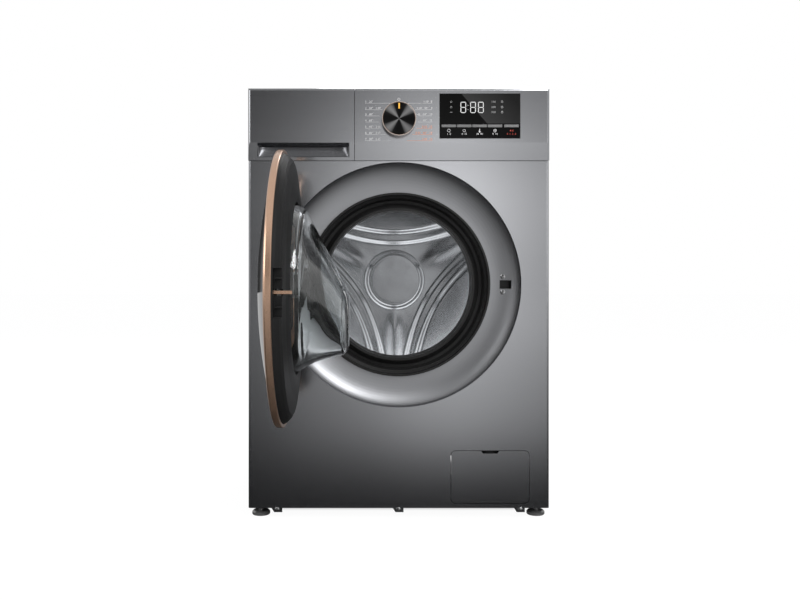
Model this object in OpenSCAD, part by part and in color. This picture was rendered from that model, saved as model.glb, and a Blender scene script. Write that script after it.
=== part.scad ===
// Front load washing machine, millimetres.
// +Z is up, the front faces -Y, and the origin is on the floor at the middle of the cabinet.
// In the revolved outlines, points are [radius, f], where f is the distance in front of the
// front panel's face: positive is towards the user, negative is inside the cabinet.

/* [Cabinet] */
// Width of the cabinet
cab_w = 595; // [590:1:620]
// Height from the floor to the top of the worktop
cab_h = 850; // [848:1:880]
// Depth of the cabinet from the front panel's face to the rear panel
cab_d = 560; // [555:1:640]
// Height of the cabinet's lower edge above the floor
foot_gap = 20.5; // [18:0.5:24]
// Thickness of the steel sheets
sheet = 1.2; // [0.8:0.1:1.4]
// Thickness of the moulded plastic walls
wall = 2.5; // [2:0.1:3]
// Depth of the front panel's folded sides
return_d = 18; // [16:1:24]
// Radius of the front panel's vertical edges
edge_r = 5; // [3:0.5:7]
// Height of the control panel above the front panel
fascia_h = 142.4; // [138:0.2:146]
// Height of the control panel's sloping lower band
band_h = 35; // [30:1:38]
// How far the control panel's face stands in front of the front panel
fascia_f = 6; // [5:0.5:8]
// Thickness of the worktop
top_t = 16; // [12:1:22]
// Depth of the pressed field in each side panel
field_depth = 3; // [2:0.5:4]

/* [Door] */
// Height of the door's, the gasket's and the drum's axis in a cabinet of the standard height
axis_z = 462; // [458:0.5:462.5]
// Outer radius of the door's trim ring
door_r = 239.5; // [236:0.5:242]
// Radius of the pressed dish round the door, at the front panel's face
dish_r = 242.5; // [242:0.5:243.5]
// Radius of the opening inside the dish
mouth_r = 184; // [180:0.5:186]
// Height of the domed outer pane above the trim ring
dome_rise = 31; // [26:1:32]
// Radius of the glass bowl's rim
bowl_r = 148; // [144:1:150]
// Wall of the glass bowl
glass_t = 8; // [5:0.5:10]
// Radius of the hinge pin
pin_r = 2.5; // [2:0.1:2.8]
// Angle at which the door stands open
door_open = 90; // [60:5:110]

/* [Drum] */
// Inner radius of the drum
drum_r = 245; // [235:1:247]
// Depth of the drum from its mouth to its back plate
drum_len = 336; // [320:1:340]
// Radius of the drum's mouth
drum_mouth_r = 160; // [156:1:166]
// Height of the lifters
lifter_h = 52; // [40:1:60]
// Number of lifters
lifter_n = 3; // [2:1:4]
// How far the petals of the back plate are pressed forward
petal_rise = 15; // [10:1:18]
// Gap between the drum and the tub
tub_gap = 12; // [10:0.5:13]
// Radius of the drum shaft at its front bearing
shaft_r = 15; // [12.5:0.5:17.5]

/* [Controls] */
// Radius of the programme knob
knob_r = 33.5; // [30:0.5:36]
// How far the programme knob stands out
knob_out = 25; // [20:1:30]
// Width of the display window
glass_w = 159.2; // [158:0.2:162]
// Height of the display window
glass_h = 88.4; // [84:0.4:92]
// Width of a touch key
key_w = 28.4; // [26:0.2:28.8]
// Height of a touch key
key_h = 5.2; // [4.6:0.2:6]
// Travel of a key
key_travel = 0.8; // [0.4:0.1:1]
// Width of the drawer's front
drawer_w = 209.6; // [200:0.2:212]
// Length of the detergent tray
tray_len = 228; // [180:1:240]
// Height of the detergent tray
tray_h = 64; // [50:1:70]

/* [Hidden] */
$fn = 96;

// Clearances
gap = 0.4;          // between pieces that move past each other
seam = 1.0;         // visible joint between outer panels
run = 0.05;         // radial running clearance of a pin or shaft
eps = 0.01;

// Cabinet
hw = cab_w / 2;
hd = cab_d / 2;
front_y = -hd;
fascia_top = cab_h;
fascia_z = fascia_top - fascia_h;
panel_top = fascia_z - seam;
crease_z = fascia_z + band_h;
top_z = cab_h - top_t;
standard_h = 850;
axis_at = axis_z + cab_h - standard_h;
side_y0 = front_y + return_d + gap;
flange_w = 20;
field_margin = 58;
field_r = 30;
base_h = 48;
base_top = foot_gap + base_h;
rail_w = 62;
rail_t = 4;

// Feet
foot_r = 18;
foot_h = 9;
stud_r = 5;
foot_x = hw - foot_r - 3.5;
foot_y = hd - 34;
nut_h = 6;
nut_af = 17;

// Rear
cover_r = 182;
cover_out = 14;
transit_x = 400;
transit_z = 320;
transit_r = 11;
inlet_x = -hw + 72.5;
inlet_z = top_z - 34;
inlet_r = 13.2;
inlet_len = 14;
inlet_shoulder = 1;
grommet_x = hw - 82.5;
grommet_zs = [top_z - 34, top_z - 82];
grommet_r = 11;

// Pump hatch in the front panel
hatch_w = 154.1;
hatch_h = 103.2;
hatch_x = hw - 116.75;
hatch_z = foot_gap + 9.7;
hatch_r = 9;
hatch_t = 2;
hatch_axis_z = hatch_z + 13;
hatch_axis_f = -3;
hatch_pin_r = 1.5;
hatch_lug_x = hatch_w / 2 - 5;
hatch_ear_x = hatch_w / 2 + 2.1;

// Dish and latch
latch_w = 22.8;
latch_h = 17;

// Door, closed: the hinge axis, the trim ring and the frame
hinge_x = -(door_r - 29);
hinge_f = 10.5;
ring_back = 2;
ring_front = 14;
ring_w = 17;
dome_r = door_r - 14.5;
dome_t = 2.5;
knuckle_r = 4.2;
knuckle_h = 42;
ear_t = 5;
ear_z = knuckle_h / 2 + gap + ear_t / 2;
ear_reach = 23.5;
grip_h = 74;
hook_r = door_r - 27.5;
latch_x = hook_r + 2;
hook_tip = -28;
rim_f = -14;

// Gasket
lip_r = bowl_r + 1;
lip_f = -40;
bead_f = -36;

// Drum and tub, along f
drum_mouth_f = -112;
drum_back_f = drum_mouth_f - drum_len;
drum_t = 1;
tub_r = drum_r + drum_t + tub_gap;
tub_t = 4;
tub_front_f = -96;
tub_split_f = -290;
spider_t = 18;
tub_back_f = drum_back_f - spider_t - 14;
boss_r = 41;
boss_len = 46;
bearing_w = 15;
bearing_1_f = tub_back_f - 5;
bearing_2_f = tub_back_f - boss_len + bearing_w + 1;
bearing_1_r = 31;
bearing_2_r = 26;
shaft_tail_r = 12.5;
stator_r = 128;
stator_w = 26;
stator_n = 18;
rotor_r = 140;
rotor_gap = 1;
weight_t = 28;
heater_r = drum_r + drum_t + tub_gap / 2;
heater_w = 64;
spring_x = 231;
spring_y = 30;
spring_z0 = axis_at + 144;
spring_z1 = top_z - 42;
damper_y = 26;
damper_top_x = 172;
damper_top_z = axis_at - 212;
damper_foot_x = 250;
damper_foot_z = base_top;
pump_z = hatch_z + 71.8;
filter_r = 24;
pump_r = 33;

// Controls
knob_z = fascia_z + 78.9;
glass_x = hw - 58.1 - glass_w;
glass_z = fascia_z + 43;
glass_thick = 2;
glass_proud = 0.5;
key_z = glass_z + 24.6;
key_x0 = glass_x + 18.4;
key_pitch = 30.3;
key_last = 2;
key_slot = 0.4;
board_f = -6;
board_t = 1.6;
stem_r = 3;

// Drawer
drawer_x0 = -hw;
drawer_x1 = drawer_x0 + drawer_w;
fascia_x0 = drawer_x1 + seam;
scoop_x0 = drawer_x0 + 18.5;
scoop_x1 = drawer_x1 - 9.7;
scoop_r = 31.5;
scoop_f = 16;
tray_x0 = drawer_x0 + 16.5;
tray_x1 = drawer_x1 - 16.1;
tray_z = fascia_z + 14.4;
tray_t = 2;
house_gap = 1;

// Shared helpers

// Puts a shape drawn in (x, z) with its depth along f onto the front of the cabinet
module front(f = 0) {
    translate([0, front_y - f, 0]) rotate([90, 0, 0]) children();
}

// Revolves a [radius, f] outline about the axis of the drum
module about_axis(points) {
    translate([0, front_y, axis_at]) rotate([90, 0, 0]) rotate_extrude() polygon(points);
}

// A disc or ring about an axis along f, from f0 to f1
module ring_f(x, z, f0, f1, r, bore = 0) {
    translate([x, front_y - f0, z]) rotate([90, 0, 0]) difference() {
        cylinder(r = r, h = f1 - f0);
        if (bore > 0) translate([0, 0, -1]) cylinder(r = bore, h = f1 - f0 + 2);
    }
}

// A box given by its limits in x, f and z
module box_f(x0, x1, f0, f1, z0, z1) {
    translate([x0, front_y - f1, z0]) cube([x1 - x0, f1 - f0, z1 - z0]);
}

// A rectangle with round corners
module round_rect(w, h, r) {
    translate([r, 0]) square([w - 2 * r, h]);
    translate([0, r]) square([w, h - 2 * r]);
    for (x = [r, w - r], y = [r, h - r]) translate([x, y]) circle(r = r);
}

// The plan of the front: square at the back, with round front corners
module front_plan(w, d, r) {
    translate([-w / 2, r]) square([w, d - r]);
    translate([-w / 2 + r, 0]) square([w - 2 * r, d]);
    for (s = [-1, 1]) translate([s * (w / 2 - r), r]) circle(r = r);
}

// The curve of the dish: a quarter of an ellipse from the lip down to the flat floor
dish_depth = 26;
function dish_f(r) = -dish_depth * sqrt(1 - pow((r - mouth_r) / (dish_r - mouth_r), 2));
dish_steps = 14;
function dish_curve(t = 0) = [
    for (i = [0:dish_steps]) let (a = 90 * i / dish_steps)
        [mouth_r + (dish_r - mouth_r + t) * sin(a), -(dish_depth + t) * cos(a)]
];

// Everything behind the visible face of the dish
module behind_dish(t = 0) {
    about_axis(concat([[0, -400], [0, -dish_depth - t]], dish_curve(t), [[dish_r + t, -400]]));
}

// Cabinet

module side_panel(s) {
    color("slategray") mirror([s < 0 ? 0 : 1, 0, 0]) {
        panel_d = hd - sheet - side_y0;
        field_w = panel_d - 2 * field_margin;
        field_h = top_z - foot_gap - 2 * field_margin - base_h;
        field_at = [0, side_y0 + field_margin, foot_gap + field_margin + base_h];
        difference() {
            union() {
                translate([-hw, side_y0, foot_gap]) cube([sheet, panel_d, top_z - foot_gap]);
                translate([-hw, 0, 0] + field_at - [0, sheet, sheet]) rotate([90, 0, 90])
                    linear_extrude(field_depth + sheet)
                        round_rect(field_w + 2 * sheet, field_h + 2 * sheet, field_r + sheet);
            }
            translate([-hw - 1, 0, 0] + field_at) rotate([90, 0, 90])
                linear_extrude(field_depth + 1) round_rect(field_w, field_h, field_r);
        }
        translate([-hw, side_y0, base_top + seam]) cube([flange_w, sheet, fascia_z - base_top - 2 * seam]);
        translate([-hw, hd - 2 * sheet, base_top + seam]) cube([flange_w, sheet, top_z - base_top - seam]);
        // the hanger of the suspension spring
        translate([-hw, spring_y - 14, spring_z1]) cube([hw - spring_x + 14, 28, 4]);
    }
}

module rear_panel() {
    color("gainsboro") difference() {
        translate([-hw, hd - sheet, foot_gap]) cube([cab_w, sheet, top_z - foot_gap]);
        translate([0, hd - sheet - 1, 0]) rear_holes();
    }
}

// Openings of the rear panel, cut towards +Y
module rear_holes() {
    module hole(x, z, r) { translate([x, 0, z]) rotate([-90, 0, 0]) cylinder(r = r, h = sheet + 2); }
    hole(0, axis_at, cover_r - 12);
    for (x = [-1, 1], z = [-1, 1]) hole(x * transit_x / 2, axis_at + z * transit_z / 2, transit_r);
    hole(inlet_x, inlet_z, inlet_r + gap);
    for (z = grommet_zs) hole(grommet_x, z, grommet_r);
}

module rear_cover() {
    color("gainsboro") translate([0, hd, axis_at]) rotate([-90, 0, 0]) rotate_extrude() polygon([
        [0, cover_out - sheet], [cover_r - 34, cover_out - sheet], [cover_r - 22, 0], [cover_r, 0],
        [cover_r, sheet], [cover_r - 21, sheet], [cover_r - 33, cover_out], [0, cover_out]
    ]);
}

module rear_grommets() {
    color("dimgray") for (z = grommet_zs) translate([grommet_x, hd - sheet, z]) rotate([-90, 0, 0])
        rotate_extrude() polygon([
            [5, -4], [grommet_r + 4, -4], [grommet_r + 4, 0], [grommet_r, 0], [grommet_r, sheet],
            [grommet_r + 4, sheet], [grommet_r + 2, 5], [7, 9], [5, 9]
        ]);
}

module base_frame() {
    bw = cab_w - 2 * sheet - gap;
    by0 = front_y + return_d;
    bd = hd - sheet - by0;
    color("dimgray") difference() {
        union() {
            difference() {
                translate([-bw / 2, by0, foot_gap]) cube([bw, bd, base_h]);
                translate([-bw / 2 + rail_t, by0 + rail_t, foot_gap - 1])
                    cube([bw - 2 * rail_t, bd - 2 * rail_t, base_h - rail_t + 1]);
                translate([-bw / 2 + rail_w, by0 + rail_w, 0])
                    cube([bw - 2 * rail_w, bd - 2 * rail_w, base_top + 1]);
            }
            base_inner_walls(bw, by0, bd);
            for (x = [-1, 1], y = [-1, 1]) translate([x * foot_x, y * foot_y, foot_gap])
                cylinder(r = 13, h = base_h - rail_t / 2);
        }
        for (x = [-1, 1], y = [-1, 1]) translate([x * foot_x, y * foot_y, 0])
            cylinder(r = stud_r + run, h = base_top + 1);
    }
}

module base_inner_walls(bw, by0, bd) {
    difference() {
        translate([-bw / 2 + rail_w - rail_t, by0 + rail_w - rail_t, foot_gap])
            cube([bw - 2 * rail_w + 2 * rail_t, bd - 2 * rail_w + 2 * rail_t, base_h]);
        translate([-bw / 2 + rail_w, by0 + rail_w, 0])
            cube([bw - 2 * rail_w, bd - 2 * rail_w, base_top + 1]);
    }
}

module foot(x, y) {
    color("dimgray") translate([x * foot_x, y * foot_y, 0]) rotate_extrude() polygon([
        [0, 0], [foot_r - 1.5, 0], [foot_r, 1.5], [foot_r, foot_h - 3], [foot_r - 3, foot_h],
        [stud_r, foot_h], [stud_r, base_top - 2], [0, base_top - 2]
    ]);
}

module lock_nuts() {
    color("silver") for (x = [-1, 1], y = [-1, 1])
        translate([x * foot_x, y * foot_y, foot_gap - nut_h]) difference() {
            cylinder(d = nut_af / cos(30), h = nut_h, $fn = 6);
            translate([0, 0, -1]) cylinder(r = stud_r + run, h = nut_h + 2);
        }
}

module front_panel() {
    h = panel_top - foot_gap;
    color("lightslategray") {
        difference() {
            union() {
                difference() {
                    translate([0, front_y, foot_gap]) linear_extrude(h)
                        front_plan(cab_w, return_d, edge_r);
                    translate([0, front_y + sheet, foot_gap + sheet]) linear_extrude(h - 2 * sheet)
                        front_plan(cab_w - 2 * sheet, return_d, edge_r - sheet);
                    ring_f(0, axis_at, -3, 3, dish_r);
                }
                difference() {
                    about_axis(concat(dish_curve(), [for (i = [dish_steps:-1:0]) dish_curve(sheet)[i]]));
                    ring_f(0, axis_at, -0.001, 3, dish_r + 5);
                }
                mouth_lip();
                hatch_ears();
            }
            front() translate([hatch_x - hatch_w / 2 - seam, hatch_z - seam, 0])
                linear_extrude(4, center = true)
                    round_rect(hatch_w + 2 * seam, hatch_h + 2 * seam, hatch_r + seam);
            latch_slot(-60, -4, 0);
        }
        for (x = [-241, -1, 239]) front(-2 * sheet) translate([x, foot_gap, 0])
            linear_extrude(sheet) polygon([
                [-11, 2 * sheet], [-11, 0], [-5.5, -8.5], [10.5, -8.5], [10.5, 2 * sheet]
            ]);
    }
}

// The rolled edge of the mouth, which the gasket's bead grips
module mouth_lip() {
    about_axis([
        [mouth_r, -dish_depth], [mouth_r + sheet, -dish_depth - sheet],
        [mouth_r + sheet, -dish_depth - 12], [mouth_r, -dish_depth - 12]
    ]);
}

module latch_slot(f0, f1, grow) {
    box_f(latch_x - latch_w / 2 - grow, latch_x + latch_w / 2 + grow, f0, f1,
        axis_at - latch_h / 2 - grow, axis_at + latch_h / 2 + grow);
}

// Two folded ears behind the panel, which carry the pump hatch
module hatch_ears() {
    for (s = [-1, 1]) difference() {
        x = hatch_x + s * hatch_ear_x;
        box_f(x - 1, x + 1, -9, -sheet / 2, foot_gap + sheet / 2, hatch_axis_z + 4);
        translate([x - 2, front_y - hatch_axis_f, hatch_axis_z]) rotate([0, 90, 0])
            cylinder(r = hatch_pin_r + run, h = 4);
    }
}

module pump_hatch() {
    color("dimgray") {
        difference() {
            front(-hatch_t) translate([hatch_x - hatch_w / 2, hatch_z, 0])
                linear_extrude(hatch_t) round_rect(hatch_w, hatch_h, hatch_r);
            front(-hatch_t) translate([hatch_x, hatch_z + hatch_h, -1]) linear_extrude(hatch_t + 2)
                polygon([[-18, 1], [18, 1], [18, 0], [14, -5.3], [-14, -5.3], [-18, 0]]);
        }
        for (s = [-1, 1]) {
            x = hatch_x + s * hatch_lug_x;
            box_f(x - 2, x + 2, hatch_axis_f - 3, -hatch_t, hatch_axis_z - 2.2, hatch_axis_z + 3);
            translate([x, front_y - hatch_axis_f, hatch_axis_z]) rotate([0, s * 90, 0])
                cylinder(r = hatch_pin_r, h = hatch_ear_x - hatch_lug_x + 1.5);
        }
    }
}

module worktop() {
    color("gray") difference() {
        translate([-hw, side_y0, top_z]) linear_extrude(top_t)
            translate([0, 0]) square([cab_w, hd - side_y0]);
        translate([0, 0, cab_h - 1]) linear_extrude(2) difference() {
            translate([-hw + 16, side_y0 + 6]) round_rect(cab_w - 32, hd - side_y0 - 22, 12);
            translate([-hw + 17.5, side_y0 + 7.5]) round_rect(cab_w - 35, hd - side_y0 - 25, 10.5);
        }
    }
}

// Control panel and drawer front share this outline, seen from the side as [f, z]
module fascia_side(t) {
    r = edge_r - t / 2;
    polygon([
        [-return_d - (t > 0 ? 1 : 0), fascia_z + t], [1.5 - t, fascia_z + t],
        [fascia_f - t, crease_z + t / 3], [fascia_f - t, fascia_top - r - t],
        [fascia_f - t - r * (1 - cos(30)), fascia_top - r - t + r * sin(30)],
        [fascia_f - t - r * (1 - cos(60)), fascia_top - r - t + r * sin(60)],
        [fascia_f - t - r, fascia_top - t], [-return_d - (t > 0 ? 1 : 0), fascia_top - t]
    ]);
}

// The solid between x0 and x1, with the round front corners of the whole cabinet
module fascia_solid(x0, x1, t) {
    intersection() {
        translate([x0, front_y, 0]) rotate([90, 0, 90]) mirror([1, 0, 0])
            linear_extrude(x1 - x0) fascia_side(t);
        translate([0, front_y - fascia_f + t, 0]) linear_extrude(cab_h + 1)
            front_plan(cab_w, return_d + fascia_f + 2, edge_r);
    }
}

module fascia_shell(x0, x1) {
    difference() {
        fascia_solid(x0, x1, 0);
        fascia_solid(x0 + wall, x1 - wall, wall);
    }
}

module key_slots(f0, f1, grow) {
    for (i = [0:4])
        box_f(key_cx(i) - key_w / 2 - grow, key_cx(i) + key_w / 2 + grow, f0, f1,
            key_z - key_h / 2 - grow, key_z + key_h / 2 + grow);
}

function key_cx(i) = key_x0 + i * key_pitch + (i == 4 ? key_last : 0);

module control_fascia() {
    color("slategray") {
        difference() {
            fascia_shell(fascia_x0, hw);
            box_f(glass_x - gap / 2, glass_x + glass_w + gap / 2, fascia_f + glass_proud - glass_thick,
                fascia_f + 2, glass_z - gap / 2, glass_z + glass_h + gap / 2);
            key_slots(-5, 9, key_slot);
            ring_f(0, knob_z, -5, 9, stem_r + gap);
        }
        for (x = [30, hw - 35.5], z = [glass_z + 7.4, glass_z + glass_h - 7]) ring_f(x, z, board_f + board_t, fascia_f - wall, 3.5);
    }
}

module display_glass() {
    color([0.05, 0.05, 0.06]) difference() {
        box_f(glass_x, glass_x + glass_w, fascia_f + glass_proud - glass_thick,
            fascia_f + glass_proud, glass_z, glass_z + glass_h);
        key_slots(-5, 9, key_slot);
    }
}

module key(i) {
    color("darkgray") {
        key_x = key_cx(i);
        box_f(key_x - key_w / 2, key_x + key_w / 2, 1, fascia_f + 1.6,
            key_z - key_h / 2, key_z + key_h / 2);
        box_f(key_x - 3, key_x + 3, -2.4, 1, key_z - 2, key_z + 2);
    }
}

module control_board() {
    color("darkgreen") {
        difference() {
            union() {
                box_f(-22, hw - 29.5, board_f, board_f + board_t,
                    glass_z + 1.4, glass_z + glass_h - 1);
                ring_f(0, knob_z, board_f + board_t, fascia_f - wall - 0.5, 9);
                for (i = [0:4]) box_f(key_cx(i) - 3, key_cx(i) + 3, board_f + board_t,
                    board_f + board_t + 0.6, key_z - 3, key_z + 3);
            }
            ring_f(0, knob_z, board_f - 1, fascia_f, stem_r + run);
        }
        box_f(glass_x + 40, glass_x + 120, board_f + board_t, fascia_f - wall - 0.4,
            glass_z + 45.4, glass_z + 81.4);
    }
}

module knob_skirt() {
    color("saddlebrown") translate([0, front_y - fascia_f, knob_z]) rotate([90, 0, 0])
        rotate_extrude() polygon([
            [0, -9], [stem_r, -9], [stem_r, 6], [14, knob_out - 5], [knob_r - 5, knob_out - 5],
            [knob_r - 2.5, gap], [knob_r, gap], [knob_r - 0.3, knob_out - 1],
            [knob_r - 1.2, knob_out], [knob_r - 2.2, knob_out],
            [knob_r - 2.2, knob_out - 2], [0, knob_out - 2]
        ]);
}

module knob_cap() {
    color([0.1, 0.1, 0.1]) translate([0, front_y - fascia_f, knob_z]) rotate([90, 0, 0])
        rotate_extrude() polygon([
            [0, knob_out - 2], [knob_r - 2.3, knob_out - 2], [knob_r - 2.3, knob_out - 0.4],
            [knob_r - 3, knob_out - 0.2], [0, knob_out - 1]
        ]);
}

// Drawer

module scoop(grow) {
    translate([scoop_x0 - grow, front_y - scoop_f, crease_z]) rotate([0, 90, 0])
        cylinder(r = scoop_r + grow, h = scoop_x1 - scoop_x0 + 2 * grow);
}

module drawer_front() {
    color("slategray") difference() {
        union() {
            fascia_shell(drawer_x0, drawer_x1);
            intersection() {
                fascia_solid(drawer_x0, drawer_x1, 0);
                scoop(wall);
                box_f(-hw, hw, -return_d, fascia_f, 0, crease_z + 6);
            }
        }
        intersection() {
            scoop(0);
            box_f(-hw, hw, -return_d, fascia_f - wall, 0, crease_z + 3);
        }
        intersection() {
            scoop(0);
            box_f(-hw, hw, fascia_f - wall - 1, fascia_f + 1, 0, crease_z);
        }
    }
}

module detergent_tray() {
    color("lightgray") {
        tray_w = tray_x1 - tray_x0;
        tray_y = front_y + return_d;
        difference() {
            translate([tray_x0, tray_y, tray_z]) cube([tray_w, tray_len, tray_h]);
            for (i = [0:2]) translate([tray_x0 + tray_t + i * (tray_w - tray_t) / 3, tray_y + tray_t,
                tray_z + tray_t]) cube([(tray_w - tray_t) / 3 - tray_t, tray_len - 2 * tray_t, tray_h]);
        }
        siphon_x = tray_x0 + tray_w / 2;
        translate([siphon_x, tray_y + tray_len - 22, tray_z + tray_t])
            cylinder(r = 7, h = tray_h - 22);
    }
}

module dispenser_housing() {
    x0 = tray_x0 - house_gap;
    x1 = tray_x1 + house_gap;
    y0 = front_y + return_d + seam;
    y1 = front_y + return_d + tray_len + 22;
    z0 = tray_z - house_gap;
    z1 = tray_z + tray_h + 14;
    color("lightgray") {
        difference() {
            union() {
                translate([x0 - wall, y0, z0 - wall])
                    cube([x1 - x0 + 2 * wall, y1 - y0 + wall, z1 - z0 + 2 * wall]);
                translate([-190, y1 - 16, z0 - 26]) cylinder(r = 17, h = 30);
            }
            translate([x0, y0 - 1, z0]) cube([x1 - x0, y1 - y0 + 1, z1 - z0]);
            translate([-190, y1 - 16, z0 - 27]) cylinder(r = 17 - wall, h = 40);
        }
        for (y = [y0 + 40, y1 - 40])
            translate([-hw + sheet, y, z1 - 8]) cube([x0 - wall + hw - sheet, 16, 8 + wall]);
    }
}

module inlet_valve() {
    color("whitesmoke") {
        translate([inlet_x, hd - sheet, inlet_z]) rotate([90, 0, 0]) cylinder(r = 19, h = 6);
        translate([inlet_x, hd + inlet_len, inlet_z]) rotate([90, 0, 0]) difference() {
            union() {
                cylinder(r = inlet_r, h = inlet_len - inlet_shoulder);
                cylinder(r = inlet_r - 1.2, h = inlet_len + sheet);
            }
            translate([0, 0, -1]) cylinder(r = inlet_r - 4, h = 12);
        }
        translate([inlet_x - 14, hd - 52, inlet_z - 14]) cube([28, 46, 28]);
        translate([inlet_x, hd - 30, inlet_z - 50]) cylinder(r = 11, h = 40);
    }
}

// The short bellows between the dispenser and the tub
module fill_hose() {
    y = front_y + return_d + tray_len + 6;
    top = tray_z - house_gap - 26 - 0.2;
    foot = axis_at + sqrt(pow(tub_r + tub_t, 2) - 190 * 190) - 12;
    n = 6;
    p = (top - foot) / n;
    color("black") difference() {
        translate([-190, y, foot]) rotate_extrude() polygon(concat(
            [[14, 0]], [for (i = [0:n - 1]) each [[17, i * p], [20, (i + 0.5) * p]]],
            [[17, n * p], [14, n * p]]));
        tub_solid();
    }
}

// Door, drawn closed and swung open about its hinge

module on_door() {
    translate([hinge_x, front_y - hinge_f, 0]) rotate([0, 0, -door_open])
        translate([-hinge_x, -front_y + hinge_f, 0]) children();
}

function dome_f(r, rise, base) = let (R = (dome_r * dome_r + rise * rise) / (2 * rise))
    base + sqrt(R * R - r * r) - (R - rise);
dome_steps = 12;

module door_trim() {
    c = 3.5;
    color("rosybrown") on_door() about_axis([
        [dome_r, ring_back], [door_r - 1, ring_back], [door_r, ring_back + 1],
        [door_r, ring_front - c], [door_r - 1, ring_front - 1.2], [door_r - c, ring_front],
        [dome_r + gap, ring_front], [dome_r + gap, ring_front - dome_t],
        [door_r - ring_w, ring_front - dome_t], [door_r - ring_w, ring_front - dome_t - 3],
        [dome_r, ring_front - dome_t - 3]
    ]);
}

module door_dome() {
    outer = [for (i = [0:dome_steps]) let (r = dome_r * i / dome_steps)
        [r, dome_f(r, dome_rise, ring_front)]];
    inner = [for (i = [dome_steps:-1:0]) let (r = dome_r * i / dome_steps)
        [r, dome_f(r, dome_rise, ring_front - dome_t)]];
    color([0.12, 0.12, 0.13]) on_door() about_axis(concat(outer, inner));
}

// The inner frame's face, from its outer edge to the rim of the bowl
frame_face = [
    [dome_r - wall, ring_back + 4], [dome_r, ring_back + 4], [dome_r, ring_back],
    [door_r - 6, ring_back], [door_r - 9, -3], [door_r - 15, -9],
    [hook_r + 6, -12.4], [hook_r, -13], [185, -15.5], [166, -19], [bowl_r + 9, -20],
    [bowl_r + 2, -18], [bowl_r + 2, rim_f]
];

module frame_shell() {
    about_axis(concat(frame_face, [
        [bowl_r - 5, rim_f], [bowl_r - 5, rim_f + 6], [bowl_r + 8, rim_f + 6],
        [bowl_r + 10, -17.5], [166, -16.5], [185, -13], [hook_r, -10.5],
        [door_r - 20, -8], [dome_r - wall, -4]
    ]));
}

module frame_filled() {
    about_axis(concat(frame_face, [[bowl_r + 2, ring_back + 4]]));
}

module door_frame() {
    gx0 = 213;
    color([0.2, 0.2, 0.21]) on_door() difference() {
        union() {
            frame_shell();
            intersection() {
                frame_filled();
                box_f(gx0 - wall - 1, door_r, -20, 3, axis_at - grip_h / 2 - wall,
                    axis_at + grip_h / 2 + wall);
            }
            intersection() {
                frame_filled();
                box_f(hinge_x - 6, hinge_x + 6, -20, hinge_f - knuckle_r - 0.5,
                    axis_at - knuckle_h / 2, axis_at + knuckle_h / 2);
            }
        }
        // the finger recess, and the mouths of the hook and of the two hinge ears
        intersection() {
            box_f(gx0, door_r - 5, -20, 0, axis_at - grip_h / 2, axis_at + grip_h / 2);
            difference() {
                box_f(gx0, door_r, -20, 0, axis_at - grip_h / 2, axis_at + grip_h / 2);
                for (z = [-1, 1]) box_f(gx0 - 1, door_r, -20, -4, axis_at + z * 22 - 1,
                    axis_at + z * 22 + 1);
            }
        }
        box_f(hook_r - 8, hook_r + 5, -30, 6, axis_at - 5, axis_at + 5);
        for (z = [-1, 1]) box_f(-door_r + 8.5, hinge_x + ear_reach + 5, -30, 6,
            axis_at + z * ear_z - ear_t / 2 - 1, axis_at + z * ear_z + ear_t / 2 + 1);
    }
}

// Outlines of the bowl in depth: [f, height of the centre below the axis, radius]
bowl_rings = [
    [rim_f - 0.5, 0, bowl_r - 1], [-30, 0, 0.94 * bowl_r], [-38, 1.5, 0.895 * bowl_r],
    [-60, 20, 0.71 * bowl_r], [-94, 48, 0.47 * bowl_r], [-105, 56, 0.37 * bowl_r],
    [-108.5, 58, 0.28 * bowl_r]
];

module bowl_solid(inset) {
    hull() for (b = bowl_rings)
        translate([0, front_y - b[0] - inset, axis_at - b[1]]) rotate([90, 0, 0])
            cylinder(r = b[2] - inset, h = 0.5, $fn = 64);
}

module door_bowl() {
    color([0.75, 0.8, 0.82, 0.5]) on_door() difference() {
        bowl_solid(0);
        bowl_solid(glass_t);
        ring_f(0, axis_at, rim_f - glass_t - 0.01, rim_f + 2, bowl_r - glass_t - 1);
    }
}

module hinge_block() {
    color("silver") on_door() difference() {
        union() {
            translate([hinge_x, front_y - hinge_f, axis_at - knuckle_h / 2])
                cylinder(r = knuckle_r, h = knuckle_h);
            box_f(hinge_x - knuckle_r, hinge_x + 22, hinge_f - knuckle_r, hinge_f,
                axis_at - knuckle_h / 2, axis_at + knuckle_h / 2);
        }
        translate([hinge_x, front_y - hinge_f, axis_at - knuckle_h / 2 - 1])
            cylinder(r = pin_r + run, h = knuckle_h + 2);
    }
}

module hinge_pin() {
    half = knuckle_h / 2 + gap + ear_t;
    color("lightgray") translate([hinge_x, front_y - hinge_f, axis_at - half])
        cylinder(r = pin_r, h = 2 * half);
}

// A pad on the floor of the dish with two gooseneck ears round to the pin
module hinge_bracket() {
    pad_x1 = hinge_x + ear_reach + 2.5;
    color("silver") difference() {
        union() {
            box_f(pad_x1 - 18, pad_x1, -dish_depth - 2, -21, axis_at - 34, axis_at + 34);
            for (z = [-1, 1]) {
                z0 = axis_at + z * ear_z - ear_t / 2;
                translate([hinge_x, front_y - hinge_f, z0]) cylinder(r = knuckle_r, h = ear_t);
                box_f(hinge_x, pad_x1, hinge_f - 2.5, hinge_f + 2.5, z0, z0 + ear_t);
                box_f(pad_x1 - 5, pad_x1, -22, hinge_f + 2.5, z0, z0 + ear_t);
            }
        }
        behind_dish();
        translate([hinge_x, front_y - hinge_f, axis_at - 40]) cylinder(r = pin_r, h = 80);
    }
}

module door_hook() {
    color("rosybrown") on_door() front(hook_tip) translate([0, axis_at, 0]) {
        translate([hook_r - 3, -2.5, 0]) cube([3.5, 5, 36]);
        translate([hook_r - 3, -2.5, 0]) cube([8, 5, 3.5]);
        translate([hook_r - 6, -8, 31.5]) cube([9, 16, 6]);
    }
}

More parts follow.
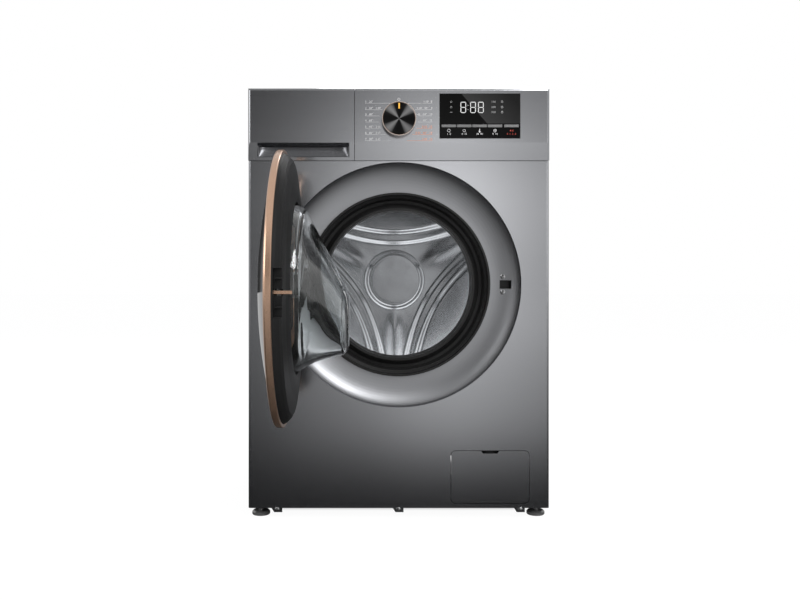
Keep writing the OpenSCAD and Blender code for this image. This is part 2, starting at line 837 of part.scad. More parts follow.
module door_lock() {
    color("dimgray") difference() {
        box_f(latch_x - 21, latch_x + 21, -62, -14, axis_at - 38, axis_at + 38);
        behind_dish_cut();
        latch_slot(-52, -1, 0);
    }
}

// All that lies in front of the back of the dish
module behind_dish_cut() {
    about_axis(concat(dish_curve(sheet), [[dish_r + sheet, 20], [mouth_r, 20]]));
}

// Gasket

// The outline runs down the outside from the bead to the tub's neck, and back up the inside
module gasket() {
    fold_f = -62;
    neck = lip_r + 16;
    color([0.15, 0.15, 0.16]) about_axis([
        [mouth_r - 4, -dish_depth + 3], [mouth_r, -dish_depth + 3],
        [mouth_r, -dish_depth - 12], [mouth_r + 3, -dish_depth - 13],
        [mouth_r + 3, -dish_depth - 18], [mouth_r - 6, -dish_depth - 20],
        [mouth_r - 12, fold_f], [mouth_r - 22, fold_f], [mouth_r - 26, fold_f + 6],
        [lip_r + 4, lip_f - 6], [lip_r + 3, lip_f - 43], [neck, lip_f - 45],
        [neck, tub_front_f - 6], [neck - 4, tub_front_f - 6], [neck - 4, lip_f - 49],
        [lip_r - 1, lip_f - 47], [lip_r, lip_f], [lip_r + 5, lip_f],
        [mouth_r - 24, fold_f + 11], [mouth_r - 20, fold_f + 4], [mouth_r - 14, fold_f + 4],
        [mouth_r - 10, -dish_depth - 17], [mouth_r - 4, -dish_depth - 12]
    ]);
}

module gasket_clamp() {
    color("silver") about_axis([
        [lip_r + 16, -88], [lip_r + 18, -88], [lip_r + 18, -94], [lip_r + 16, -94]
    ]);
}

// Drum

module drum_shell() {
    color("silver") about_axis([
        [drum_r, drum_back_f], [drum_r + drum_t, drum_back_f], [drum_r + drum_t, drum_mouth_f - 6],
        [drum_r - 5, drum_mouth_f], [drum_mouth_r + 6, drum_mouth_f],
        [drum_mouth_r, drum_mouth_f - 5], [drum_mouth_r, drum_mouth_f - 12],
        [drum_mouth_r + drum_t, drum_mouth_f - 12], [drum_mouth_r + drum_t, drum_mouth_f - 5.5],
        [drum_mouth_r + 6.5, drum_mouth_f - drum_t], [drum_r - 5.5, drum_mouth_f - drum_t],
        [drum_r, drum_mouth_f - 6.5]
    ]);
}

// The edge of a petal: a hyperbola whose vertex stands off the hub
petal_slope = 0.4;
function petal_edge(vertex, span, n) = [
    for (i = [-n:n]) let (x = span * i / n) [x, sqrt(vertex * vertex + pow(petal_slope * x * 1.35, 2))]
];

module petal(vertex, r) {
    intersection() {
        polygon(concat([[r + 9, r + 9], [-r - 9, r + 9]], petal_edge(vertex, r + 8, 8)));
        circle(r = r, $fn = 64);
    }
}

module petal_solid(t) {
    hull() {
        linear_extrude(0.1) petal(84 + t, drum_r - 10 - t);
        linear_extrude(petal_rise) petal(118 + t, drum_r - 26 - t);
    }
}

module drum_back() {
    color("silver") translate([0, front_y - drum_back_f, axis_at]) rotate([90, 0, 0]) {
        difference() {
            union() {
                cylinder(r = drum_r, h = drum_t);
                for (a = [0:120:240]) rotate(a) petal_solid(0);
                cylinder(r1 = 71, r2 = 60, h = 9);
            }
            translate([0, 0, -eps]) {
                for (a = [0:120:240]) rotate(a) translate([0, 0, -drum_t]) petal_solid(drum_t);
                cylinder(r1 = 70, r2 = 59, h = 9 - drum_t);
            }
        }
    }
}

module drum_lifters() {
    len = drum_len - 60;
    color("lightgray") for (i = [0:lifter_n - 1])
        translate([0, front_y - drum_mouth_f + 18, axis_at]) rotate([-90, 0, 0])
            rotate(360 * i / lifter_n + 60) intersection() {
                translate([0, 0, 0]) linear_extrude(len) polygon([
                    [-26, -drum_r - 2], [-20, -drum_r + 12], [-9, -drum_r + lifter_h - 4],
                    [-4, -drum_r + lifter_h], [4, -drum_r + lifter_h],
                    [9, -drum_r + lifter_h - 4], [20, -drum_r + 12], [26, -drum_r - 2]
                ]);
                cylinder(r = drum_r, h = len, $fn = 96);
            }
}

module drum_spider() {
    color("darkgray") translate([0, front_y - drum_back_f, axis_at]) rotate([-90, 0, 0]) {
        cylinder(r = 44, h = spider_t + 4);
        for (a = [60:120:300]) rotate(a) linear_extrude(spider_t)
            polygon([[-20, 20], [20, 20], [10, drum_r - 6], [-10, drum_r - 6]]);
        cylinder(r = shaft_r, h = drum_back_f - bearing_2_f);
        cylinder(r = shaft_tail_r, h = drum_back_f - tub_back_f + boss_len + 14);
    }
}

// Tub

// The outline of the tub with its back and front walls
module tub_solid() {
    about_axis([
        [0, tub_back_f - tub_t], [tub_r + tub_t - 12, tub_back_f - tub_t],
        [tub_r + tub_t, tub_back_f + 10], [tub_r + tub_t, tub_front_f - 10],
        [tub_r + tub_t - 10, tub_front_f], [0, tub_front_f]
    ]);
}

module tub_front() {
    neck = lip_r + 16;
    color("whitesmoke") {
        about_axis([
            [tub_r, tub_split_f], [tub_r + tub_t, tub_split_f], [tub_r + tub_t, tub_front_f - 10],
            [tub_r + tub_t - 10, tub_front_f], [neck, tub_front_f],
            [neck, tub_front_f - tub_t], [tub_r + tub_t - 12, tub_front_f - tub_t],
            [tub_r, tub_front_f - 12]
        ]);
    }
}

module tub_rear() {
    color("whitesmoke") {
        difference() {
            union() {
                about_axis([
                    [bearing_1_r, tub_back_f], [tub_r - 10, tub_back_f], [tub_r, tub_back_f + 10],
                    [tub_r, tub_split_f], [tub_r + tub_t, tub_split_f],
                    [tub_r + tub_t, tub_back_f + 8], [tub_r - 8, tub_back_f - tub_t],
                    [boss_r, tub_back_f - tub_t], [boss_r, tub_back_f - boss_len],
                    [bearing_2_r, tub_back_f - boss_len], [bearing_2_r, bearing_2_f],
                    [shaft_r + 5, bearing_2_f], [shaft_r + 5, bearing_1_f - bearing_w],
                    [bearing_1_r, bearing_1_f - bearing_w]
                ]);
                tub_ribs();
            }
            heater_port();
        }
        for (s = [-1, 1]) {
            translate([s * (spring_x - 1) - 13, spring_y - 12, spring_z0 - 8]) cube([26, 24, 8]);
            translate([s * damper_top_x - 12, damper_y - 10, damper_top_z]) cube([24, 20, 22]);
        }
    }
}

// Radial ribs on the outside of the rear wall
module tub_ribs() {
    for (a = [15:30:345]) translate([0, front_y - tub_back_f + tub_t / 2, axis_at])
        rotate([-90, a, 0]) translate([rotor_r + 8, -2, 0])
            cube([tub_r - rotor_r - 22, 4, 8 + tub_t / 2]);
}

module heater_port() {
    box_f(-heater_w / 2, heater_w / 2, tub_back_f - 30, tub_back_f + 16,
        axis_at - heater_r - 5, axis_at - heater_r + 5);
}

// A U-shaped element that lies between the drum and the bottom of the tub
module heater() {
    rod = 3;
    x = 16;
    len = 190;
    z = axis_at - heater_r;
    color("darkgray") {
        box_f(-heater_w / 2, heater_w / 2, tub_back_f - 12, tub_back_f + 10, z - 5, z + 5);
        for (s = [-1, 1]) ring_f(s * x, z, tub_back_f + 9, tub_back_f + len, rod);
        translate([0, front_y - tub_back_f - len, z]) rotate([0, 0, 180])
            rotate_extrude(angle = 180) translate([x, 0]) circle(r = rod, $fn = 24);
    }
}

module bearing(f, r, bore) {
    color("silver") ring_f(0, axis_at, f - bearing_w, f, r, bore);
}

module shaft_seal() {
    color("black") ring_f(0, axis_at, bearing_1_f + 0.5, tub_back_f, bearing_1_r, shaft_r + run);
}

module motor_stator() {
    f1 = tub_back_f - tub_t;
    color("peru") {
        ring_f(0, axis_at, f1 - stator_w, f1, stator_r - 26, boss_r + 1);
        for (i = [0:stator_n - 1]) translate([0, front_y - f1, axis_at]) rotate([-90, 360 * i / stator_n, 0])
            translate([stator_r - 28, -5, 4]) cube([28, 10, stator_w - 8]);
    }
}

module motor_rotor() {
    f0 = tub_back_f - boss_len - 5;
    color("silver") about_axis([
        [shaft_tail_r, f0 - 5], [shaft_tail_r + 20, f0 - 5], [shaft_tail_r + 22, f0],
        [rotor_r - 6, f0], [rotor_r, f0 + 6], [rotor_r, tub_back_f - 14],
        [stator_r + rotor_gap, tub_back_f - 14], [stator_r + rotor_gap, f0 + 3],
        [shaft_tail_r, f0 + 3]
    ]);
}

// Two crescents bolted to the front of the tub, above and below the mouth
module counterweight_front() {
    color("darkslategray") difference() {
        ring_f(0, axis_at, tub_front_f, tub_front_f + weight_t, tub_r - 8, mouth_r - 4);
        box_f(-hw, hw, tub_front_f - 1, tub_front_f + weight_t + 1, axis_at - 75, axis_at + 75);
    }
}

module counterweight_top() {
    color("darkslategray") difference() {
        translate([-120, 0, axis_at + tub_r - 36]) cube([240, 150, 90]);
        tub_solid();
    }
}

// A helical spring as a swept ring of points
module coil_spring(r, wire, turns, h) {
    sides = 6;
    per_turn = 12;
    n = turns * per_turn;
    points = [for (i = [0:n], j = [0:sides - 1]) let (
            a = 360 * i / per_turn,
            b = 360 * j / sides,
            q = r + wire * cos(b)
        ) [q * cos(a), q * sin(a), wire + (h - 2 * wire) * i / n + wire * sin(b)]];
    sweep = [for (i = [0:n - 1], j = [0:sides - 1]) let (k = i * sides, l = (j + 1) % sides)
        each [[k + j, k + sides + j, k + sides + l], [k + j, k + sides + l, k + l]]];
    ends = [[for (j = [0:sides - 1]) j], [for (j = [sides - 1:-1:0]) n * sides + j]];
    polyhedron(points, concat(sweep, ends));
}

module suspension_springs() {
    color("gray") for (s = [-1, 1]) translate([s * spring_x, spring_y, spring_z0])
        coil_spring(10.5, 1.6, 8, spring_z1 - spring_z0);
}

module dampers() {
    len = sqrt(pow(damper_foot_x - damper_top_x, 2) + pow(damper_top_z - damper_foot_z, 2));
    tilt = atan((damper_foot_x - damper_top_x) / (damper_top_z - damper_foot_z));
    color("gray") for (s = [-1, 1]) difference() {
        translate([s * damper_foot_x, damper_y, damper_foot_z]) rotate([0, -s * tilt, 0]) {
            translate([0, 0, -12]) cylinder(r = 7, h = 24);
            translate([0, 0, 10]) cylinder(r = 15, h = len * 0.55);
            cylinder(r = 6, h = len + 12);
        }
        translate([-hw, -hd, 0]) cube([cab_w, cab_d, damper_foot_z]);
        translate([-hw, -hd, damper_top_z]) cube([cab_w, cab_d, 60]);
    }
}

module drain_pump() {
    color("white") {
        difference() {
            ring_f(hatch_x, pump_z, -72, -16, filter_r + 6);
            ring_f(hatch_x, pump_z, -68, -10, filter_r + run);
        }
        ring_f(hatch_x, pump_z, -132, -72 + eps, pump_r);
        box_f(hatch_x - 24, hatch_x + 24, -76, -22, base_top, pump_z - filter_r);
    }
}

module filter_cap() {
    color("dimgray") {
        ring_f(hatch_x, pump_z, -64, -15.5, filter_r);
        ring_f(hatch_x, pump_z, -15.5, -10, filter_r + 4);
        box_f(hatch_x - 20, hatch_x + 20, -10.5, -7, pump_z - 4, pump_z + 4);
    }
}

module sump_hose() {
    color("black") difference() {
        translate([hatch_x, front_y + 112, pump_z]) cylinder(r = 15, h = 190);
        tub_solid();
        ring_f(hatch_x, pump_z, -132, -72 + eps, pump_r);
    }
}

module level_sensor() {
    color("whitesmoke") translate([hw - sheet, 120, top_z - 28]) rotate([0, -90, 0]) {
        cylinder(r = 21, h = 9);
        cylinder(r = 12, h = 20);
    }
}

side_panel(-1);  // side_panel_left
side_panel(1);  // side_panel_right
rear_panel();
rear_cover();
base_frame();
front_panel();
worktop();
control_fascia();
display_glass();
control_board();
key(0);  // key_1
key(1);  // key_2
key(2);  // key_3
key(3);  // key_4
key(4);  // key_5
knob_skirt();
knob_cap();
drawer_front();
detergent_tray();
dispenser_housing();
inlet_valve();
fill_hose();
door_trim();
door_dome();
door_frame();
door_bowl();
hinge_block();
door_hook();
hinge_bracket();
hinge_pin();
door_lock();
gasket();
gasket_clamp();
drum_shell();
drum_back();
drum_lifters();
drum_spider();
motor_rotor();
motor_stator();
bearing(bearing_1_f, bearing_1_r, shaft_r + run);  // bearing_front
bearing(bearing_2_f, bearing_2_r, shaft_tail_r + run);  // bearing_rear
shaft_seal();
tub_front();
tub_rear();
counterweight_front();
counterweight_top();
heater();
suspension_springs();
dampers();
drain_pump();
sump_hose();
level_sensor();
filter_cap();
pump_hatch();
foot(-1, -1);  // foot_front_left
foot(1, -1);  // foot_front_right
foot(-1, 1);  // foot_rear_left
foot(1, 1);  // foot_rear_right
lock_nuts();
rear_grommets();
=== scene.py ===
import math
from mathutils import Matrix, Vector
import bmesh
import bpy


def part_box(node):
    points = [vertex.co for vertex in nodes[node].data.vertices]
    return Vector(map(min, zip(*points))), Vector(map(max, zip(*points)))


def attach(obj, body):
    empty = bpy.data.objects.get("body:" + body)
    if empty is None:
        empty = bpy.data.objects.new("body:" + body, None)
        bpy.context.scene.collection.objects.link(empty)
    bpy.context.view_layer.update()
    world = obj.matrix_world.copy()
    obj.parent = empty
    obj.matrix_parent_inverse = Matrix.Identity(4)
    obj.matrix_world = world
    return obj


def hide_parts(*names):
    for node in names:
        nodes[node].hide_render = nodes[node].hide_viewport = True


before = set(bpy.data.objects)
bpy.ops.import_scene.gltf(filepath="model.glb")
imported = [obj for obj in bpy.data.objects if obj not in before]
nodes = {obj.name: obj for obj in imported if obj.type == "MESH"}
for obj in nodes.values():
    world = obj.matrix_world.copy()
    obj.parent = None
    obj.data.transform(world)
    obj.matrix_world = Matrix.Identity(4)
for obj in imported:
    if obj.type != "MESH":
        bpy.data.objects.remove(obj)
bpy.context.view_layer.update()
scene = bpy.context.scene
scene.view_settings.view_transform = "Standard"

# places taken from the construction, in metres
MM = 0.001
front_y = -0.280
fascia_y = front_y - 0.006
glass_y = front_y - 0.0065
drum_axis_z = 0.462
knob_x, knob_z = 0.0, 0.7865
hinge_line = Vector((-0.2105, front_y - 0.0105, 0.0))


# ---------------------------------------------------------------- camera

camera = bpy.data.objects.new("camera", bpy.data.cameras.new("camera"))
camera.location = (-0.045, -2.13, 0.511)
camera.rotation_euler = (math.radians(90), 0, 0)
camera.data.lens = 42.1
camera.data.sensor_width = 36
camera.data.shift_x = 0.03
camera.data.shift_y = -0.05
camera.data.clip_end = 50
scene.collection.objects.link(camera)
scene.camera = camera


# ---------------------------------------------------------------- finishes

class Graph:
    """A node tree under construction: short calls add and join its nodes."""

    def __init__(self, tree):
        self.tree = tree
        tree.nodes.clear()

    def add(self, kind, **settings):
        node = self.tree.nodes.new(kind)
        for key, value in settings.items():
            setattr(node, key, value)
        return node

    def join(self, a, b):
        self.tree.links.new(a, b)

    def feed(self, socket, value):
        """Joins a node's output to the socket, or sets the socket to a plain value."""
        if hasattr(value, "links"):
            self.join(value, socket)
        else:
            socket.default_value = value

    def math(self, operation, *values):
        n = self.add("ShaderNodeMath", operation=operation)
        for socket, value in zip(n.inputs, values):
            self.feed(socket, value)
        return n.outputs[0]

    def length(self, a, b):
        """The length of a line that goes a one way and b square to it."""
        return self.math("SQRT", self.math("ADD", self.math("MULTIPLY", a, a), self.math("MULTIPLY", b, b)))

    def spread(self, value, low, high, out_low=0.0, out_high=1.0, smooth=False):
        n = self.add("ShaderNodeMapRange")
        if smooth:
            n.interpolation_type = "SMOOTHSTEP"
        self.join(value, n.inputs["Value"])
        for key, v in zip(("From Min", "From Max", "To Min", "To Max"), (low, high, out_low, out_high)):
            n.inputs[key].default_value = v
        return n.outputs[0]

    def tint(self, value, *stops):
        """A colour that runs through stops of (position, colour), with positions from 0 to 1."""
        ramp = self.add("ShaderNodeValToRGB")
        band = ramp.color_ramp
        while len(band.elements) < len(stops):
            band.elements.new(0.5)
        for element, (position, colour) in zip(band.elements, stops):
            element.position = position
            element.color = (*colour, 1)
        self.join(value, ramp.inputs[0])
        return ramp.outputs[0]

    def run(self, value, *stops):
        """A level that runs through stops of (value, level)."""
        low, high = stops[0][0], stops[-1][0]
        greys = [((at - low) / (high - low), grey(level)) for at, level in stops]
        return self.tint(self.spread(value, low, high), *greys)

    def blend(self, share, a, b):
        """Colour a where share is 0, and colour b where it is 1."""
        n = self.add("ShaderNodeMix", data_type="RGBA")
        for i, value in ((0, share), (6, a), (7, b)):
            self.feed(n.inputs[i], value)
        return n.outputs[2]

    def axes(self, where):
        n = self.add("ShaderNodeSeparateXYZ")
        self.join(where, n.inputs[0])
        return n.outputs


class Finish(Graph):
    """A material under construction."""

    def __init__(self, name, **values):
        self.material = bpy.data.materials.new(name)
        self.material.use_nodes = True
        super().__init__(self.material.node_tree)
        self.out = self.add("ShaderNodeOutputMaterial")
        self.shader = self.add("ShaderNodeBsdfPrincipled")
        self.join(self.shader.outputs[0], self.out.inputs[0])
        for socket, value in values.items():
            self.put(socket.replace("_", " "), value)

    def put(self, socket, value):
        self.feed(self.shader.inputs[socket], value)

    def place(self, scale=(1, 1, 1), at=(0, 0, 0)):
        coordinate = self.add("ShaderNodeTexCoord")
        mapping = self.add("ShaderNodeMapping")
        mapping.inputs["Location"].default_value = at
        mapping.inputs["Scale"].default_value = scale
        self.join(coordinate.outputs["Object"], mapping.inputs["Vector"])
        return mapping.outputs[0]

    def about(self, axis_z):
        """Position as sockets x, y and z, measured from a line along Y at a height."""
        return self.axes(self.place(at=(0, 0, -axis_z)))

    def noise(self, where, scale, detail=4.0, rough=0.55):
        n = self.add("ShaderNodeTexNoise")
        n.inputs["Scale"].default_value = scale
        n.inputs["Detail"].default_value = detail
        n.inputs["Roughness"].default_value = rough
        self.join(where, n.inputs["Vector"])
        return n.outputs["Fac"]

    def bump(self, height, distance, strength=1.0):
        n = self.add("ShaderNodeBump")
        n.inputs["Strength"].default_value = strength
        n.inputs["Distance"].default_value = distance
        self.join(height, n.inputs["Height"])
        self.put("Normal", n.outputs[0])

    def show(self, share, a, b):
        """Shows shader a where share is 0, and shader b where it is 1."""
        n = self.add("ShaderNodeMixShader")
        for socket, value in zip(n.inputs, (share, a, b)):
            self.join(value, socket)
        self.join(n.outputs[0], self.out.inputs[0])


def grey(v, cool=0.0):
    return (v, v * (1 + cool * 0.4), v * (1 + cool))


def shades(colour, vary):
    """The darker and the lighter end of a colour that varies."""
    return tuple(c * (1 - vary) for c in colour), tuple(min(1.0, c * (1 + vary)) for c in colour)


def speckled(name, colour, rough, metal=0.0, grain=900.0, depth=0.00003, vary=0.12, **values):
    """Moulded plastic, rubber, castings and plain painted steel: a fine grain over a slow change of tone."""
    f = Finish(name, Metallic=metal, **values)
    where = f.place()
    slow = f.noise(where, 9.0, 3.0)
    fine = f.noise(where, grain, 2.0)
    low, high = shades(colour, vary)
    f.put("Base Color", f.tint(slow, (0.3, low), (0.7, high)))
    f.put("Roughness", f.spread(fine, 0.3, 0.7, rough * 0.88, min(1.0, rough * 1.12)))
    f.bump(fine, depth)
    return f.material


def brushed(name, colour, rough, along, metal=1.0, depth=0.000002, vary=0.035, pressed=None, **values):
    """Metal with fine straight brush lines. along is the direction of the lines: 0 is X, 1 is Y, 2 is Z.
    pressed is (radius, roughness): inside that radius round the drum's axis the metal is duller, and
    such a sheet has no relief."""
    f = Finish(name, Metallic=metal, **values)
    scale = [900.0] * 3
    scale[along] = 6.0
    streaks = f.noise(f.place(scale=tuple(scale)), 1.0, 5.0, 0.7)
    slow = f.noise(f.place(), 2.2, 2.0)
    tone = f.math("ADD", f.math("MULTIPLY", streaks, 0.65), f.math("MULTIPLY", slow, 0.35))
    low, high = shades(colour, vary)
    f.put("Base Color", f.tint(tone, (0.35, low), (0.65, high)))
    sheen = f.spread(streaks, 0.3, 0.7, rough * 0.85, rough * 1.15)
    if pressed:
        edge, dull = pressed
        x, y, z = f.about(drum_axis_z)
        inside = f.spread(f.length(x, z), edge - 0.002, edge, 1.0, 0.0)
        sheen = f.math("MAXIMUM", sheen, f.math("MULTIPLY", inside, dull))
    else:
        f.bump(streaks, depth)
    f.put("Roughness", sheen)
    return f.material


enamel = dict(Coat_Weight=0.1, Coat_Roughness=0.12)
body_silver = (0.34, 0.345, 0.36)
finish_of = {}


def dress(material, *names):
    for name in names:
        finish_of[name] = material


front = dict(metal=0.96, vary=0.015, **enamel)
dress(brushed("front_enamel", body_silver, 0.15, 0, depth=0.0000003, **front), "control_fascia",
      "drawer_front", "pump_hatch")
dress(brushed("dished_enamel", body_silver, 0.15, 0, pressed=(0.2420, 0.42), **front), "front_panel")
dress(brushed("side_enamel", body_silver, 0.36, 1, metal=0.9, **enamel), "side_panel_left",
      "side_panel_right")
dress(speckled("worktop_laminate", (0.26, 0.265, 0.28), 0.42, 0.55, grain=1400, depth=0.00004), "worktop")
dress(speckled("zinc_sheet", (0.56, 0.57, 0.58), 0.42, 0.85, grain=60, depth=0.00002, vary=0.1), "rear_panel",
      "rear_cover")
dress(speckled("base_plastic", grey(0.03), 0.55), "base_frame")
dress(speckled("white_mould", (0.62, 0.63, 0.63), 0.4, vary=0.04), "dispenser_housing", "detergent_tray",
      "inlet_valve", "level_sensor")
dress(speckled("grey_mould", (0.42, 0.42, 0.41), 0.5, vary=0.06), "tub_front", "tub_rear")
dress(speckled("black_mould", grey(0.022, 0.05), 0.42), "door_lock", "drain_pump", "filter_cap",
      "rear_grommets", "dampers")
dress(speckled("casting_grey", grey(0.36), 0.5, 0.9, grain=240, depth=0.00012), "drum_spider", "motor_rotor")
dress(speckled("weight_casting", grey(0.07, 0.1), 0.75, grain=160, depth=0.0004, vary=0.2),
      "counterweight_front", "counterweight_top")
dress(speckled("circuit_green", (0.03, 0.16, 0.07), 0.4, grain=300), "control_board")
dress(speckled("coil_copper", (0.52, 0.25, 0.12), 0.35, 1.0, grain=700, depth=0.00015), "motor_stator")
dress(brushed("zinc_plate", grey(0.62, 0.02), 0.28, 2), "hinge_pin", "hinge_bracket", "hinge_block",
      "lock_nuts", "gasket_clamp", "bearing_front", "bearing_rear", "heater", "suspension_springs")
dress(speckled("seal_rubber", grey(0.03), 0.6, grain=500), "shaft_seal", "fill_hose", "sump_hose")
dress(speckled("foot_grey", grey(0.24), 0.32, 0.7, grain=500), "foot_front_left", "foot_front_right",
      "foot_rear_left", "foot_rear_right")


def door_seal():
    """Rubber bellows: fine moulded lines run round the mouth."""
    f = Finish("gasket_rubber", Specular_IOR_Level=0.18)
    line_pitch = 0.0034
    x, y, z = f.about(drum_axis_z)
    lines = f.math("SINE", f.math("MULTIPLY", f.length(x, z), 2 * math.pi / line_pitch))
    fine = f.noise(f.place(), 700.0, 2.0)
    f.put("Base Color", f.tint(f.noise(f.place(), 12.0), (0.3, grey(0.014)), (0.7, grey(0.020))))
    f.put("Roughness", f.spread(fine, 0.3, 0.7, 0.42, 0.56))
    f.bump(f.math("ADD", f.math("MULTIPLY", lines, 0.8), f.math("MULTIPLY", fine, 0.2)), 0.00012, 0.6)
    return f.material


dress(door_seal(), "gasket")


def drum_sheet(name, holes):
    """Bright stainless sheet. holes pierces it with rows of small round holes, by depth and angle, drawn as
    near-black spots of painted shade.
    """
    f = Finish(name, Metallic=1.0)
    streaks = f.noise(f.place(scale=(30, 700, 30)), 1.0, 3.0)
    if not holes:
        tone = f.tint(streaks, (0.3, grey(0.19, 0.08)), (0.7, grey(0.22, 0.08)))
        f.put("Base Color", tone)
        f.put("Roughness", f.spread(f.noise(f.place(), 6.0), 0.3, 0.7, 0.19, 0.24))
        f.bump(f.noise(f.place(), 90.0, 2.0), 0.000001)
        return f.material
    tone = f.tint(streaks, (0.3, grey(0.70, 0.02)), (0.7, grey(0.78, 0.02)))
    pitch, turns, drum_radius, hole_radius = 0.021, 72, 0.245, 0.0019
    x, y, z = f.about(drum_axis_z)
    angle = f.math("MULTIPLY", f.math("ARCTAN2", z, x), turns / (2 * math.pi))
    row = f.math("DIVIDE", y, pitch)
    odd = f.math("MULTIPLY", f.math("MODULO", f.math("ABSOLUTE", f.math("FLOOR", row)), 2.0), 0.5)
    a = f.math("SUBTRACT", f.math("FRACT", f.math("ADD", f.math("ADD", angle, odd), 100.0)), 0.5)
    b = f.math("SUBTRACT", f.math("FRACT", f.math("ADD", row, 100.0)), 0.5)
    off = f.length(f.math("MULTIPLY", a, 2 * math.pi * drum_radius / turns), f.math("MULTIPLY", b, pitch))
    solid = f.spread(off, hole_radius - 0.0002, hole_radius + 0.0002, smooth=True)
    # the holes are near black: painted shade where the dark behind the sheet shows through
    f.put("Base Color", f.blend(solid, (0.01, 0.01, 0.01, 1), tone))
    f.put("Metallic", solid)
    f.put("Roughness", f.spread(solid, 0.0, 1.0, 0.6, 0.18))
    f.bump(f.spread(off, 0.0016, 0.0036, smooth=True), 0.0006)
    return f.material


dress(drum_sheet("drum_pierced", True), "drum_shell")
plain_drum_steel = drum_sheet("drum_bright", False)
dress(plain_drum_steel, "drum_back", "drum_lifters")
copper = (0.62, 0.40, 0.28)
dress(speckled("rose_gold", copper, 0.3, 0.9, grain=1200, depth=0.00001, vary=0.04, Coat_Weight=0.3,
               Coat_Roughness=0.1), "door_trim")
dress(speckled("hook_copper", copper, 0.25, 0.9, grain=1200, depth=0.00001, vary=0.04), "door_hook")
dress(speckled("door_gloss", grey(0.02), 0.06, 0.0, grain=40, depth=0.00001, Coat_Weight=0.6,
               Coat_Roughness=0.03), "door_dome")
dress(speckled("door_inner", grey(0.012), 0.5, grain=1100, depth=0.00002, Specular_IOR_Level=0.12),
      "door_frame")
dress(speckled("knob_brown", (0.15, 0.085, 0.06), 0.28, 0.75, grain=1200, depth=0.00001, Coat_Weight=0.3,
               Coat_Roughness=0.08), "knob_skirt")
dress(speckled("key_silver", grey(0.16), 0.35, 0.4, grain=1200, depth=0.00001),
      "key_1", "key_2", "key_3", "key_4", "key_5")


def spun_face_painted_highlight():
    """Spun metal disc: four soft sectors of painted highlight in its colour, and very fine rings about the
    knob's own centre.
    """
    sectors, first_at, ring_pitch = 4.0, 0.72, 0.0009
    f = Finish("knob_spun_painted_highlight", Metallic=0.85, Roughness=0.3)
    x, y, z = f.about(knob_z)
    angle = f.math("SUBTRACT", f.math("ARCTAN2", z, x), first_at)
    wave = f.math("COSINE", f.math("MULTIPLY", angle, sectors))
    painted_highlight = f.math("POWER", f.math("MULTIPLY", f.math("ADD", wave, 1.0), 0.5), 1.5)
    rings = f.math("SINE", f.math("MULTIPLY", f.length(x, z), 2 * math.pi / ring_pitch))
    # the bright sectors are a painted highlight in the base colour; the fine rings are real relief
    f.put("Base Color", f.tint(painted_highlight, (0.0, grey(0.004)), (0.35, grey(0.01)), (1.0, grey(0.22))))
    f.bump(rings, 0.00002, 0.5)
    return f.material


dress(spun_face_painted_highlight(), "knob_cap")


def black_glass_painted_reflection():
    """Gloss black window with a painted reflection: paler to the right of a slanted edge and above the keys.
    """
    f = Finish("window_black", Roughness=0.05, Specular_IOR_Level=0.08)
    x, y, z = f.axes(f.place())
    # the paler tone right of the slanted line and above the keys is a painted reflection in the glass's
    # colour
    slant = f.math("ADD", f.math("MULTIPLY", x, 1.154), z)
    shade = f.math("MULTIPLY", f.spread(slant, 0.9805, 0.9815), f.spread(slant, 0.98, 1.09, 1.0, 0.3))
    shade = f.math("MULTIPLY", shade, f.spread(z, 0.7795, 0.7800))
    f.put("Base Color", f.tint(shade, (0.0, grey(0.002)), (1.0, grey(0.032))))
    f.bump(f.noise(f.place(), 20.0), 0.000004)
    return f.material


dress(black_glass_painted_reflection(), "display_glass")


def pressed_glass():
    """Clear pressed glass, slightly wavy as it left the mould."""
    f = Finish("bowl_glass", Transmission_Weight=1.0, IOR=1.5, Roughness=0.015)
    f.put("Base Color", f.tint(f.noise(f.place(), 5.0), (0.3, (0.93, 0.96, 0.96)), (0.7, (0.98, 0.99, 0.99))))
    waves = f.noise(f.place(scale=(1.0, 1.0, 0.35)), 26.0, 2.0, 0.4)
    f.bump(waves, 0.0012, 0.25)
    return f.material


bowl_glass = pressed_glass()
dress(bowl_glass, "door_bowl")

for name, node in nodes.items():
    node.data.materials.clear()
    node.data.materials.append(finish_of[name])


# ---------------------------------------------------------------- helpers for new pieces

def piece(name, mesh, material, body, smooth_angle=30):
    """Makes a finished piece of a bmesh: normals set right, sharp edges kept, riding on its body."""
    bmesh.ops.remove_doubles(mesh, verts=mesh.verts, dist=1e-6)
    bmesh.ops.recalc_face_normals(mesh, faces=mesh.faces)
    for face in mesh.faces:
        face.smooth = True
    for edge in mesh.edges:
        edge.smooth = not edge.is_manifold or edge.calc_face_angle(0) < math.radians(smooth_angle)
    data = bpy.data.meshes.new(name)
    mesh.to_mesh(data)
    mesh.free()
    data.materials.append(material)
    made = bpy.data.objects.new(name, data)
    scene.collection.objects.link(made)
    if body:
        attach(made, body)
    return made


def swung_open(mesh):
    """Moves what is drawn on the shut door to the open one."""
    bmesh.ops.transform(mesh, verts=mesh.verts, matrix=Matrix.Translation(hinge_line)
                        @ Matrix.Rotation(math.radians(-90), 4, "Z") @ Matrix.Translation(-hinge_line))


def at_front(x, z, y):
    """Places a flat drawing, made in X and Y, upright on a face that looks at the user."""
    return Matrix.Translation((x, y, z)) @ Matrix.Rotation(math.radians(90), 4, "X")


